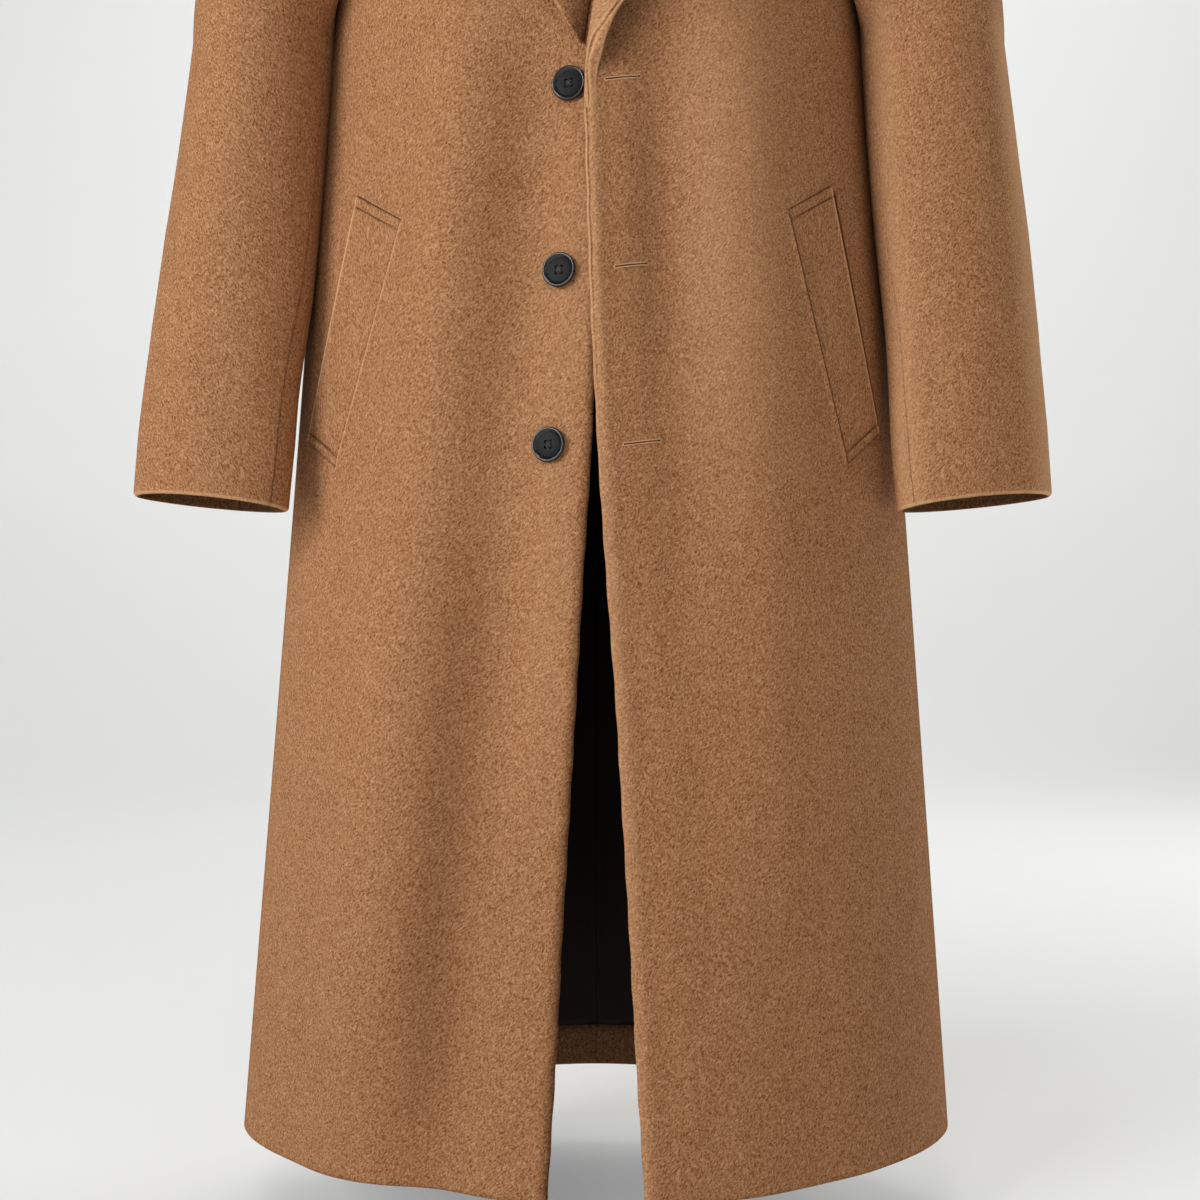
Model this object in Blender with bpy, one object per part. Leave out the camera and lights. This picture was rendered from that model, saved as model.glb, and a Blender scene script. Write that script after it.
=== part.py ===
"""Long single-breasted overcoat of brushed wool, worn open below its three buttons.

The coat keeps the hollow form of a figure with no wearer in it: neck, hem and cuffs are open.
Metres, +Z up, the fronts face -Y and the wearer's left is +X. The origin is the middle of the
neck at the height of the shoulder seams, where the shoulders carry the coat.

Each panel is a wall of cloth. Its outer points follow one body form, given by the tables of
sections, front edges and folds below, and its inner points lie one cloth thickness inside.
A panel is worked out for the +X side, and the other side is its mirror image with its own edge.
"""

import math

import bmesh
import bpy
import numpy as np
from mathutils import Matrix, Vector
from mathutils.bvhtree import BVHTree

# ---------------------------------------------------------------- cloth and seams, metres
CLOTH = 0.0028              # brushed wool coating
FACED_EDGE = 0.0050         # front edge, where the facing doubles the cloth
FACED_SHARE = 0.10          # share of a front's width that the doubled edge takes
LINING = 0.0010
SEAM_GAP = 0.0004           # between two panels at their seam
SLEEVE_SEAM_GAP = 0.0007    # between top and under sleeve, whose ring is tight
ARMHOLE_GAP = 0.0016        # between armhole and sleeve
LINING_GAP = 0.0010
LAID_GAP = 0.0009           # under a pocket welt
LAPEL_GAP = 0.0018          # under lapels and collar
TURN_UP = 0.0025            # cloth turned up inside the hems
TURN_UP_TOP_Z = -1.159      # top of the turned-up hem
CUFF_TURN_UP = 0.0016
FRONT_LIFT = 0.0068         # the left front lies this far out over the right one

# ---------------------------------------------------------------- heights
HEM_Z = -1.196
UNDERARM_Z = -0.245
BREAK_Z = -0.367            # where the lapels start to roll
LOWER_ROWS = [HEM_Z, TURN_UP_TOP_Z, TURN_UP_TOP_Z + 0.0015, -1.10, -1.04, -0.98, -0.92, -0.86,
              -0.80, -0.74, -0.68, -0.62, -0.56, -0.50, -0.44, -0.38, -0.31, UNDERARM_Z]
UPPER_STEPS = 10            # rows from the underarm to the shoulder seam

# ---------------------------------------------------------------- body sections
# z, half width, front depth, back depth
SECTIONS = np.array([
    [-0.245, 0.2220, 0.139, 0.142],
    [-0.350, 0.2305, 0.143, 0.143],
    [-0.500, 0.2440, 0.148, 0.147],
    [-0.683, 0.2575, 0.156, 0.155],
    [-1.196, 0.2985, 0.181, 0.176],
])
WIDTH_POWER = 1.9
DEPTH_POWER = 1 / 1.6
# z, how much further the coat's left side swings out than its right
LEFT_SWING = np.array([
    [-0.245, 0.0],
    [-0.450, 0.0004],
    [-0.600, 0.0038],
    [-0.683, 0.0052],
    [-0.955, 0.0025],
    [-1.196, 0.0],
])
SIDE_SEAM_IN = 0.0034       # the side seam lies this far in from the widest point, on the front

# z, left front's edge x, right front's edge x as seen on its own side
FRONT_EDGES = np.array([
    [-0.245, 0.0085, 0.0085],
    [-0.270, 0.0035, 0.0035],
    [-0.2986, -0.0019, -0.0010],
    [-0.330, -0.0066, -0.0070],
    [-0.367, -0.0086, -0.0130],
    [-0.450, -0.0064, -0.0082],
    [-0.525, -0.0041, -0.0037],
    [-0.600, -0.0004, 0.0008],
    [-0.646, 0.0019, 0.0034],
    [-0.736, 0.0079, 0.0094],
    [-0.826, 0.0146, 0.0145],
    [-0.915, 0.0198, 0.0197],
    [-1.003, 0.0249, 0.0248],
    [-1.088, 0.0292, 0.0290],
    [-1.196, 0.0359, 0.0357],
])

# soft folds: face (-1 front, 1 back), top x, top z, bottom x, bottom z, half width,
# depth at the top, depth at the bottom (out is positive)
FOLDS = np.array([
    [-1, -0.107, -0.36, -0.208, -1.196, 0.036, 0.0090, 0.0085],
    [-1, -0.043, -0.37, -0.126, -1.196, 0.034, -0.0085, -0.0088],
    [-1, 0.050, -0.37, 0.085, -0.860, 0.034, -0.0100, -0.0030],
    [-1, 0.120, -0.37, 0.150, -0.920, 0.036, 0.0090, 0.0032],
    [-1, 0.165, -0.72, 0.205, -1.120, 0.050, 0.0025, 0.0030],
    [1, -0.060, -0.40, -0.085, -1.196, 0.040, -0.0035, -0.0050],
    [1, -0.125, -0.45, -0.165, -1.196, 0.045, 0.0040, 0.0060],
    [1, 0.070, -0.42, 0.095, -1.196, 0.045, -0.0035, -0.0055],
    [1, 0.140, -0.50, 0.180, -1.196, 0.045, 0.0035, 0.0055],
])
FOLD_FADE = 0.14            # a fold runs out over this height past its ends

# ---------------------------------------------------------------- neck, shoulder and armhole
NECK_POINT = np.array([0.085, 0.000, 0.000])
SHOULDER_POINT = np.array([0.245, 0.005, -0.045])
BACK_NECK = np.array([0.000, 0.072, 0.002])
BACK_NECK_SHARE = 0.32      # share of the back panel's top row that the neck takes
FRONT_ARMHOLE = [[0.192, -0.085, -0.262], [0.172, -0.105, -0.100]]
BACK_ARMHOLE = [[0.225, 0.075, -0.262], [0.178, 0.105, -0.110]]
ROLL_LINE = [[0.030, -0.142, -0.155], [0.064, -0.058, -0.042]]
BACK_SEAM = [[0.000, 0.150, -0.150], [0.000, 0.100, -0.060]]
CHEST_FULLNESS = 0.003
CHEST_RUN = 0.60            # share of the upper panel in which the chest's form runs out
FRONT_COLUMNS = np.array([0, 0.035, 0.10, 0.19, 0.28, 0.37, 0.46, 0.55, 0.64, 0.73, 0.82, 0.91, 1.0])
BACK_COLUMNS = np.array([0, 0.11, 0.215, BACK_NECK_SHARE, 0.42, 0.52, 0.62, 0.72, 0.82, 0.91, 1.0])

# ---------------------------------------------------------------- sleeves
# z, outer x, inner x, centre y, half depth
SLEEVE_SECTIONS = np.array([
    [-0.290, 0.3395, 0.2350, -0.012, 0.0750],
    [-0.350, 0.3465, 0.2355, -0.019, 0.0705],
    [-0.450, 0.3580, 0.2370, -0.031, 0.0600],
    [-0.550, 0.3652, 0.2395, -0.046, 0.0490],
    [-0.620, 0.3700, 0.2410, -0.058, 0.0425],
    [-0.674, 0.3715, 0.2440, -0.068, 0.0390],
])
CUFF_TURN_UP_Z = -0.635     # top of the turned-up cuff
SLEEVE_ROWS = [-0.29, -0.335, -0.38, -0.43, -0.48, -0.53, -0.58, CUFF_TURN_UP_Z + 0.0015,
               CUFF_TURN_UP_Z, -0.674]
CAP_STEPS = 4               # rows between the armhole and the first level ring
CUFF_TILT = 0.095           # the cuff is lower towards the body: height over width
SLEEVE_LEAN = 0.0025        # the sleeves swing to -X at the cuff and stand off it at the top
# place round the armhole, in steps from the underarm over the front, and the sleeve angle there
SLEEVE_ANGLES = np.array([[0, 0], [2, 37], [5, 90], [10, 180], [15, 265], [16, 285], [20, 360]])
FRONT_SEAM_STEP = 2
BACK_SEAM_STEP = 16

# ---------------------------------------------------------------- lapels and collar
LAPEL_OUT = 0.0045          # a lapel is two layers of cloth
GORGE_ROLL_Z = -0.072       # where the gorge seam meets the roll line
LAPEL_TIP = [0.148, -0.130]
LAPEL_OUTER = {             # x on its own side, z, from the break to the tip
    1: [[-0.0062, -0.366], [-0.0041, -0.3437], [0.0102, -0.3136], [0.0200, -0.2986],
        [0.0570, -0.2480], [0.1010, -0.1900], LAPEL_TIP],
    -1: [[0.0105, -0.3275], [0.0292, -0.2975], [0.0640, -0.2480], [0.1050, -0.1900], LAPEL_TIP],
}
LAPEL_STEPS = 15
LAPEL_COLUMNS = 8
NOTCH = [0.113, -0.108]     # inner corner of the notch
GORGE_GAP = [-0.0004, 0.0009]  # x and z from the gorge seam to the collar's end
GORGE_IN = 0.0045           # the collar's end starts this far in from the roll line
COLLAR_CLOTH = 0.0032
LEAF_STAND = 0.0018         # the leaf stands off the round of the shoulder
COLLAR_TIP = [0.139, -0.090]
COLLAR_ROLL = 0.0055        # radius of the collar's fold
STAND_LIFT = 0.0022         # the stand starts this high above the neck seam
NECK_OFFSET = 0.0030        # the stand rises just inside the neck seam
# stand height, then a point near the panel under the leaf's edge: x, y, z
COLLAR_STATIONS = np.array([
    [0.034, 0.000, 0.096, -0.026],
    [0.034, 0.034, 0.092, -0.026],
    [0.033, 0.068, 0.080, -0.024],
    [0.031, 0.100, 0.056, -0.020],
    [0.030, 0.124, 0.028, -0.016],
    [0.028, 0.139, 0.000, -0.016],
    [0.024, 0.144, -0.028, -0.024],
    [0.019, 0.146, -0.050, -0.040],
    [0.013, 0.145, -0.068, -0.058],
    [0.007, 0.142, -0.080, -0.074],
])

# ---------------------------------------------------------------- pockets and buttons
# corners of a welt on each side, x then z: upper side, upper front, lower side, lower front
WELT_CORNERS = {
    -1: [[0.1879, -0.4310], [0.1510, -0.4546], [0.2340, -0.6218], [0.2075, -0.6460]],
    1: [[0.1864, -0.4230], [0.1500, -0.4460], [0.2305, -0.6152], [0.2008, -0.6435]],
}
WELT_OUT = 0.0024
BUTTON_RADIUS = 0.0123
BUTTON_HEIGHT = 0.0042
BUTTON_RIM = 0.0026         # width of the raised rim
BUTTON_DISH = 0.0014        # depth of the middle below the rim
BUTTON_HOLE = 0.0011
BUTTON_HOLE_OFF = 0.0021
BUTTON_STAND = 0.0004
BUTTON_PLACES = [[-0.0215, -0.3604], [-0.0268, -0.5014], [-0.0356, -0.6338]]

CAMEL_WOOL = (0.37, 0.18, 0.08)
DARK_LINING = (0.012, 0.009, 0.007)
BLACK_RESIN = (0.02, 0.02, 0.022)


# ---------------------------------------------------------------- small helpers
def lerp(start, end, share):
    return start + (end - start) * share


def smooth(value):
    value = np.clip(value, 0, 1)
    return value * value * (3 - 2 * value)


def unit(vectors):
    length = np.linalg.norm(vectors, axis=-1, keepdims=True)
    return vectors / np.maximum(length, 1e-12)


def bezier(start, handles, end, shares):
    """Points of one cubic curve, a row for each share."""
    share = np.asarray(shares, float)[:, None]
    rest = 1 - share
    first, second = np.array(handles, float)
    return (rest ** 3 * start + 3 * rest ** 2 * share * first
            + 3 * rest * share ** 2 * second + share ** 3 * end)


def along(points, shares):
    """Points at shares of the length of a polyline."""
    points = np.asarray(points, float)
    steps = np.linalg.norm(np.diff(points, axis=0), axis=1)
    travel = np.concatenate([[0], np.cumsum(steps)])
    wanted = np.asarray(shares, float) * travel[-1]
    return np.stack([np.interp(wanted, travel, points[:, axis]) for axis in range(points.shape[1])],
                    axis=1)


def by_height(table, z, column):
    """One column of a table whose first column is the height, top row first."""
    return np.interp(-z, -table[:, 0], table[:, column])


def grid_normals(points, flip):
    """Unit normals of a grid of points, from the steps along its rows and columns."""
    down = np.gradient(points, axis=0)
    across = np.gradient(points, axis=1)
    return unit(np.cross(down, across)) * (-1 if flip else 1)


# ---------------------------------------------------------------- the body form
def fold_height(x, z, face):
    """How far the soft folds lift the cloth at one place of the front or the back."""
    total = np.zeros_like(x)
    for fold_face, x_top, z_top, x_low, z_low, width, top, low in FOLDS:
        if fold_face != face:
            continue
        share = np.clip((z_top - z) / (z_top - z_low), 0, 1)
        run_out = smooth(1 - max(z - z_top, z_low - z, 0) / FOLD_FADE)
        away = (x - lerp(x_top, x_low, share)) / width
        total += lerp(top, low, share) * run_out * np.exp(-away ** 2)
    return total


def section(z, x_start, face, side):
    """Fine points round one body section, from x_start to the side seam."""
    half_width = by_height(SECTIONS, z, 1) + (by_height(LEFT_SWING, z, 1) if side > 0 else 0)
    depth = by_height(SECTIONS, z, 2 if face < 0 else 3)
    seam = half_width - SIDE_SEAM_IN
    angle_start = math.asin(x_start / half_width)
    angle_end = math.asin(seam / half_width) if face < 0 else math.pi / 2
    x = half_width * np.sin(np.linspace(angle_start, angle_end, 160))
    y = face * depth * np.clip(1 - np.abs(x / half_width) ** WIDTH_POWER, 0, 1) ** DEPTH_POWER
    if face > 0:
        front_depth = by_height(SECTIONS, z, 2)
        turn = half_width * np.sin(np.linspace(math.pi / 2, math.asin(seam / half_width), 16)[1:])
        past = -front_depth * (1 - (turn / half_width) ** WIDTH_POWER) ** DEPTH_POWER
        x = np.concatenate([x, turn])
        y = np.concatenate([y, past])
    tangent = np.stack([np.gradient(x), np.gradient(y)], axis=1)
    normal = unit(np.stack([tangent[:, 1], -tangent[:, 0]], axis=1)) * (-face)
    lift = fold_height(side * x, z, face) * smooth((half_width - x) / 0.03)
    return np.stack([x + normal[:, 0] * lift, y + normal[:, 1] * lift, np.full_like(x, z)], axis=1)


def front_edge(z, side):
    return float(by_height(FRONT_EDGES, z, 1 if side > 0 else 2))


def lower_panel(side, face, columns, heights):
    """Rows of a panel from the hem to the underarm, x on its own side."""
    rows = []
    for z in heights:
        start = front_edge(z, side) if face < 0 else 0.0
        rows.append(along(section(z, start, face, side), columns))
    return np.array(rows)


def upper_panel(chest, face, columns, shares):
    """Rows from the chest row to the shoulder seam, spread between the four edges."""
    columns = np.asarray(columns)
    shares = np.asarray(shares)
    low_in, low_out = chest[0], chest[-1]
    if face < 0:
        inner = bezier(low_in, ROLL_LINE, NECK_POINT, shares)
        outer = bezier(low_out, FRONT_ARMHOLE, SHOULDER_POINT, shares)
        top = lerp(NECK_POINT, SHOULDER_POINT, columns[:, None])
    else:
        inner = bezier(low_in, BACK_SEAM, BACK_NECK, shares)
        outer = bezier(low_out, BACK_ARMHOLE, SHOULDER_POINT, shares)
        neck = np.clip(columns / BACK_NECK_SHARE, 0, 1)
        seam = np.clip((columns - BACK_NECK_SHARE) / (1 - BACK_NECK_SHARE), 0, 1)
        turn = neck * math.pi / 2
        top = np.stack([NECK_POINT[0] * np.sin(turn), BACK_NECK[1] * np.cos(turn),
                        BACK_NECK[2] * np.cos(turn)], axis=1)
        top += (SHOULDER_POINT - NECK_POINT) * seam[:, None]
    rise = np.stack([shares, shares ** 1.8, 1 - (1 - shares) ** 1.6], axis=1)
    rise = rise[:, None, :]
    out = columns[None, :, None]
    ruled = (1 - rise) * chest[None] + rise * top[None]
    corners = ((1 - rise) * ((1 - out) * low_in + out * low_out)
               + rise * ((1 - out) * top[0] + out * top[-1]))
    sides = (1 - out) * inner[:, None] + out * outer[:, None]
    points = ruled + sides - corners
    full = np.sin(math.pi * columns[None]) * np.sin(math.pi * shares[:, None]) ** 1.5
    points[..., 1] += face * CHEST_FULLNESS * full
    half_width, depth = SECTIONS[0, 1], SECTIONS[0, 2 if face < 0 else 3]
    reach = np.clip(np.abs(points[..., 0]) / half_width, 0, 1)
    chest_y = face * depth * (1 - reach ** WIDTH_POWER) ** DEPTH_POWER
    free = np.maximum(smooth((shares[:, None] - 0.02) / CHEST_RUN), smooth((columns[None] - 0.7) / 0.3))
    points[..., 1] = lerp(chest_y, points[..., 1], free)
    return points


def panel(side, face, columns, heights, shares):
    """All outer points of a front or back, hem row first."""
    low = lower_panel(side, face, columns, heights)
    chest = lower_panel(side, face, columns, [UNDERARM_Z])[0]
    high = upper_panel(chest, face, columns, shares)
    points = np.concatenate([low, high]) if len(high) else low
    if face < 0 and side > 0:
        normals = grid_normals(points, flip=True)
        reach = np.linalg.norm(points - points[:, :1], axis=2)
        raised = 1 - smooth((reach - 0.07) / 0.09)
        fade = 1 - smooth((points[:, :1, 2] - UNDERARM_Z) / 0.12)
        points = points + normals * (FRONT_LIFT * raised * fade)[..., None]
    return points


def mirrored(points, side):
    return points * np.array([side, 1, 1])


# ---------------------------------------------------------------- making objects
def finish(bm, name, colour, roughness, sharp_angle=40):
    """A closed mesh becomes a named object with its own material."""
    bmesh.ops.recalc_face_normals(bm, faces=bm.faces[:])
    if bm.calc_volume(signed=True) < 0:
        bmesh.ops.reverse_faces(bm, faces=bm.faces[:])
    mesh = bpy.data.meshes.new(name)
    bm.to_mesh(mesh)
    bm.free()
    mesh.shade_smooth()
    mesh.set_sharp_from_angle(angle=math.radians(sharp_angle))
    material = bpy.data.materials.new(name)
    material.use_nodes = True
    shader = material.node_tree.nodes["Principled BSDF"]
    shader.inputs["Base Color"].default_value = (*colour, 1)
    shader.inputs["Roughness"].default_value = roughness
    shader.inputs["Metallic"].default_value = 0.0
    mesh.materials.append(material)
    thing = bpy.data.objects.new(name, mesh)
    bpy.context.scene.collection.objects.link(thing)
    return thing


def wall(name, outer, inner, colour=CAMEL_WOOL, roughness=0.9):
    """A closed wall of cloth between a grid of outer points and a grid of inner points."""
    rows, columns = outer.shape[:2]
    bm = bmesh.new()
    bmesh.ops.create_grid(bm, x_segments=columns - 1, y_segments=rows - 1, size=1)
    sheet = bm.verts[:]
    bmesh.ops.extrude_face_region(bm, geom=bm.faces[:], use_keep_orig=True)
    first_side = set(sheet)
    for vert in bm.verts:
        column = round((vert.co.x + 1) / 2 * (columns - 1))
        row = round((vert.co.y + 1) / 2 * (rows - 1))
        vert.co = (outer if vert in first_side else inner)[row, column]
    return finish(bm, name, colour, roughness)


def surface_tree(points):
    """The facets of a grid of points, to find places on them."""
    rows, columns = points.shape[:2]
    corners = [Vector(point) for point in points.reshape(-1, 3)]
    quads = [(r * columns + c, r * columns + c + 1, (r + 1) * columns + c + 1, (r + 1) * columns + c)
             for r in range(rows - 1) for c in range(columns - 1)]
    return BVHTree.FromPolygons(corners, quads)


def seen_from_front(tree, x, z):
    """The place and outward normal of a panel behind one point of the front view."""
    place, normal, _, _ = tree.ray_cast(Vector((x, -1, z)), Vector((0, 1, 0)))
    if place is None:
        place, normal, _, _ = tree.find_nearest(Vector((x, -0.14, z)))
    normal = np.array(normal)
    return np.array(place), normal * (-1 if normal[1] > 0 else 1)


# ---------------------------------------------------------------- panels and their seams
class Sheet:
    """Outer points, normals and thickness of one wall before it becomes a mesh."""

    def __init__(self, points, flip, thickness):
        self.points = points
        self.normals = grid_normals(points, flip)
        self.thickness = thickness

    def build(self, name, colour=CAMEL_WOOL, roughness=0.9):
        inner = self.points - self.normals * self.thickness[..., None]
        return wall(name, self.points, inner, colour, roughness)


def part_edges(first, first_edge, second, second_edge, first_inner, second_inner):
    """Gives two panels one normal along their seam and draws both back from it."""
    shared = unit(first.normals[first_edge] + second.normals[second_edge])
    first.normals[first_edge] = shared
    second.normals[second_edge] = shared
    for sheet, edge, inside in ((first, first_edge, first_inner), (second, second_edge, second_inner)):
        back = unit(sheet.points[inside] - sheet.points[edge])
        sheet.points[edge] += back * SEAM_GAP / 2


def panel_thickness(rows, columns, face):
    """Cloth, with the facing at a front's edge and the turned-up hem."""
    thickness = np.full((rows, len(columns)), CLOTH)
    if face < 0:
        faced = 1 - smooth((columns - FACED_SHARE * 0.5) / FACED_SHARE)
        upper = smooth(1 - (np.arange(rows) - len(LOWER_ROWS) + 2) / 4)
        thickness += (FACED_EDGE - CLOTH) * faced[None] * upper[:, None]
    thickness[:2] = np.maximum(thickness[:2], CLOTH + TURN_UP)
    return thickness


def make_body():
    """The four body panels of both sides, with their seams parted."""
    shares = np.arange(1, UPPER_STEPS + 1) / UPPER_STEPS
    sheets = {}
    for side in (-1, 1):
        for face, columns in ((-1, FRONT_COLUMNS), (1, BACK_COLUMNS)):
            points = mirrored(panel(side, face, columns, LOWER_ROWS, shares), side)
            thickness = panel_thickness(len(points), columns, face)
            sheets[side, face] = Sheet(points, face * side < 0, thickness)
    seam_rows = slice(0, len(LOWER_ROWS))
    neck_column = int(np.argmin(np.abs(BACK_COLUMNS - BACK_NECK_SHARE)))
    for side in (-1, 1):
        front, back = sheets[side, -1], sheets[side, 1]
        part_edges(front, (seam_rows, -1), back, (seam_rows, -1), (seam_rows, -2), (seam_rows, -2))
        back_line = (BACK_COLUMNS[neck_column:] - BACK_NECK_SHARE) / (1 - BACK_NECK_SHARE)
        front_normals = np.stack([np.interp(back_line, FRONT_COLUMNS, front.normals[-1, :, axis])
                                  for axis in range(3)], axis=1)
        shared = unit(front_normals + back.normals[-1, neck_column:])
        back.normals[-1, neck_column:] = shared
        front.normals[-1] = unit(np.stack([np.interp(FRONT_COLUMNS, back_line, shared[:, axis])
                                           for axis in range(3)], axis=1))
        for sheet, reach in ((front, slice(None)), (back, slice(neck_column, None))):
            down = unit(sheet.points[-2, reach] - sheet.points[-1, reach])
            sheet.points[-1, reach] += down * SEAM_GAP / 2
    part_edges(sheets[-1, 1], (slice(None), 0), sheets[1, 1], (slice(None), 0),
               (slice(None), 1), (slice(None), 1))
    return sheets


def make_linings(sheets):
    """The back lining, one wall on each side of its centre seam, inside the back."""
    for side, name in ((1, "lining_back_left"), (-1, "lining_back_right")):
        back = sheets[side, 1]
        rows = slice(2, len(LOWER_ROWS) + UPPER_STEPS - 1)
        columns = slice(0, len(BACK_COLUMNS) - 1)
        points = back.points[rows, columns]
        normals = back.normals[rows, columns]
        top = points - normals * (CLOTH + LINING_GAP)
        wall(name, top, top - normals * LINING, DARK_LINING, 0.35)


# ---------------------------------------------------------------- sleeves
def sleeve_ring(side, z, steps):
    """One level ring of a sleeve, at places counted round the armhole."""
    outer = by_height(SLEEVE_SECTIONS, z, 1)
    inner = by_height(SLEEVE_SECTIONS, z, 2)
    centre_y = by_height(SLEEVE_SECTIONS, z, 3)
    half_depth = by_height(SLEEVE_SECTIONS, z, 4)
    angle = np.radians(np.interp(steps, SLEEVE_ANGLES[:, 0], SLEEVE_ANGLES[:, 1]))
    half_width = (outer - inner) / 2
    lean = side * SLEEVE_LEAN * (1 - 2 * smooth((-0.29 - z) / 0.384))
    x = (outer + inner) / 2 - half_width * np.cos(angle) + lean
    y = centre_y - half_depth * np.sin(angle)
    tilt = CUFF_TILT * smooth((-0.45 - z) / 0.2) * half_width * np.cos(angle)
    return np.stack([x, y, z - tilt], axis=1)


def sleeve_points(side, front, back):
    """Outer points of a whole sleeve: columns round it from the underarm, rows from the armhole."""
    base = len(LOWER_ROWS) - 1
    armhole = np.concatenate([front.points[base:, -1], back.points[base:, -1][-2:0:-1]])
    panel_normals = np.concatenate([front.normals[base:, -1], back.normals[base:, -1][-2:0:-1]])
    armhole = mirrored(armhole, side)
    panel_normals = mirrored(panel_normals, side)
    steps = np.arange(2 * UPPER_STEPS)
    ring = sleeve_ring(side, SLEEVE_SECTIONS[0, 0], steps)
    angle = np.radians(np.interp(steps, SLEEVE_ANGLES[:, 0], SLEEVE_ANGLES[:, 1]))[:, None]
    over = (1 - np.cos(angle)) / 2
    leave = unit(np.concatenate([0.15 + 0.75 * over, -0.35 * np.sin(angle), -1 + 0.45 * over], axis=1))
    apart = unit(panel_normals * (1 - over) * 0.8 + np.array([0.9, 0, 0.0]) * (0.25 + over)
                 + leave * 0.5 * over)
    start = armhole + apart * ARMHOLE_GAP
    reach = np.linalg.norm(ring - start, axis=1)[:, None] * 0.36
    rows = []
    for share in np.arange(CAP_STEPS) / CAP_STEPS:
        rest = 1 - share
        rows.append(rest ** 3 * start + 3 * rest ** 2 * share * (start + leave * reach)
                    + 3 * rest * share ** 2 * (ring + np.array([0, 0, 1.0]) * reach) + share ** 3 * ring)
    rows += [sleeve_ring(side, z, steps) for z in SLEEVE_ROWS]
    return np.array(rows)


def share_armhole_normals(normals, side, front, back):
    """One normal for panel and sleeve where the sleeve carries on over the shoulder."""
    base = len(LOWER_ROWS) - 1
    for step in range(2 * UPPER_STEPS):
        sheet = front if step <= UPPER_STEPS else back
        row = base + (step if step <= UPPER_STEPS else 2 * UPPER_STEPS - step)
        own = mirrored(sheet.normals[row, -1], side)
        if np.dot(own, normals[step]) > 0.2:
            normals[step] = unit(own + normals[step])
            sheet.normals[row, -1] = mirrored(normals[step], side)
            if step == UPPER_STEPS:
                back.normals[row, -1] = sheet.normals[row, -1]


def make_sleeves(sheets):
    for side, word in ((1, "left"), (-1, "right")):
        front, back = sheets[side, -1], sheets[side, 1]
        points = sleeve_points(side, front, back)
        count = points.shape[1]
        ring = np.arange(-1, count + 1) % count
        wrapped = grid_normals(points[:, ring], flip=False)
        normals = wrapped[:, 1:-1]
        share_armhole_normals(normals[0], side, front, back)
        thickness = np.full(len(points), CLOTH)
        thickness[-2:] += CUFF_TURN_UP
        spans = {"sleeve_top": np.arange(FRONT_SEAM_STEP, BACK_SEAM_STEP + 1),
                 "sleeve_under": np.arange(BACK_SEAM_STEP, count + FRONT_SEAM_STEP + 1) % count}
        for piece, span in spans.items():
            outer = points[:, span].copy()
            outer[:, 0] += unit(outer[:, 1] - outer[:, 0]) * SLEEVE_SEAM_GAP / 2
            outer[:, -1] += unit(outer[:, -2] - outer[:, -1]) * SLEEVE_SEAM_GAP / 2
            inner = outer - normals[:, span] * thickness[:, None, None]
            wall(f"{piece}_{word}", mirrored(outer, side), mirrored(inner, side))


# ---------------------------------------------------------------- lapels, collar and welts
def roll_line(side):
    """The fold of a lapel in the front view, x on its own side, from the break to the gorge."""
    chest = lower_panel(side, -1, [0.0], [UNDERARM_Z])[0]
    upper = bezier(chest[0], ROLL_LINE, NECK_POINT, np.linspace(0, 1, 60))[:, [0, 2]]
    heights = np.linspace(BREAK_Z, UNDERARM_Z, 30)[:-1]
    lower = np.array([[front_edge(z, side), z] for z in heights])
    line = np.concatenate([lower, upper])
    return line[line[:, 1] <= GORGE_ROLL_Z + 1e-4]


def make_lapel(side, word, tree):
    roll = roll_line(side)
    outer_edge = np.array(LAPEL_OUTER[side])
    if side < 0:
        under = np.array([[max(x, -front_edge(z, 1) + 0.0022), z] for x, z in roll])
        roll = under[under[:, 1] >= outer_edge[0, 1]]
    shares = np.linspace(0, 1, LAPEL_STEPS) ** 1.25
    inner_line = along(roll, shares)
    outer_line = along(outer_edge, shares)
    outer, inner = [], []
    for start, end in zip(inner_line, outer_line):
        row_outer, row_inner = [], []
        for share in np.linspace(0, 1, LAPEL_COLUMNS):
            x, z = lerp(start, end, 0.02 + 0.98 * share)
            place, normal = seen_from_front(tree, side * x, z)
            row_inner.append(place + normal * LAPEL_GAP)
            row_outer.append(place + normal * (LAPEL_GAP + LAPEL_OUT))
        outer.append(row_outer)
        inner.append(row_inner)
    wall(f"lapel_{word}", np.array(outer), np.array(inner))


def nearest(trees, guess, out):
    """The place on the closest panel, moved out from it."""
    found = min((tree.find_nearest(Vector(guess)) for tree in trees), key=lambda hit: hit[3])
    place, normal = np.array(found[0]), np.array(found[1])
    if np.dot(normal, np.array(guess) - np.array([0, 0, -0.1])) < 0:
        normal = -normal
    return place + normal * out


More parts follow.
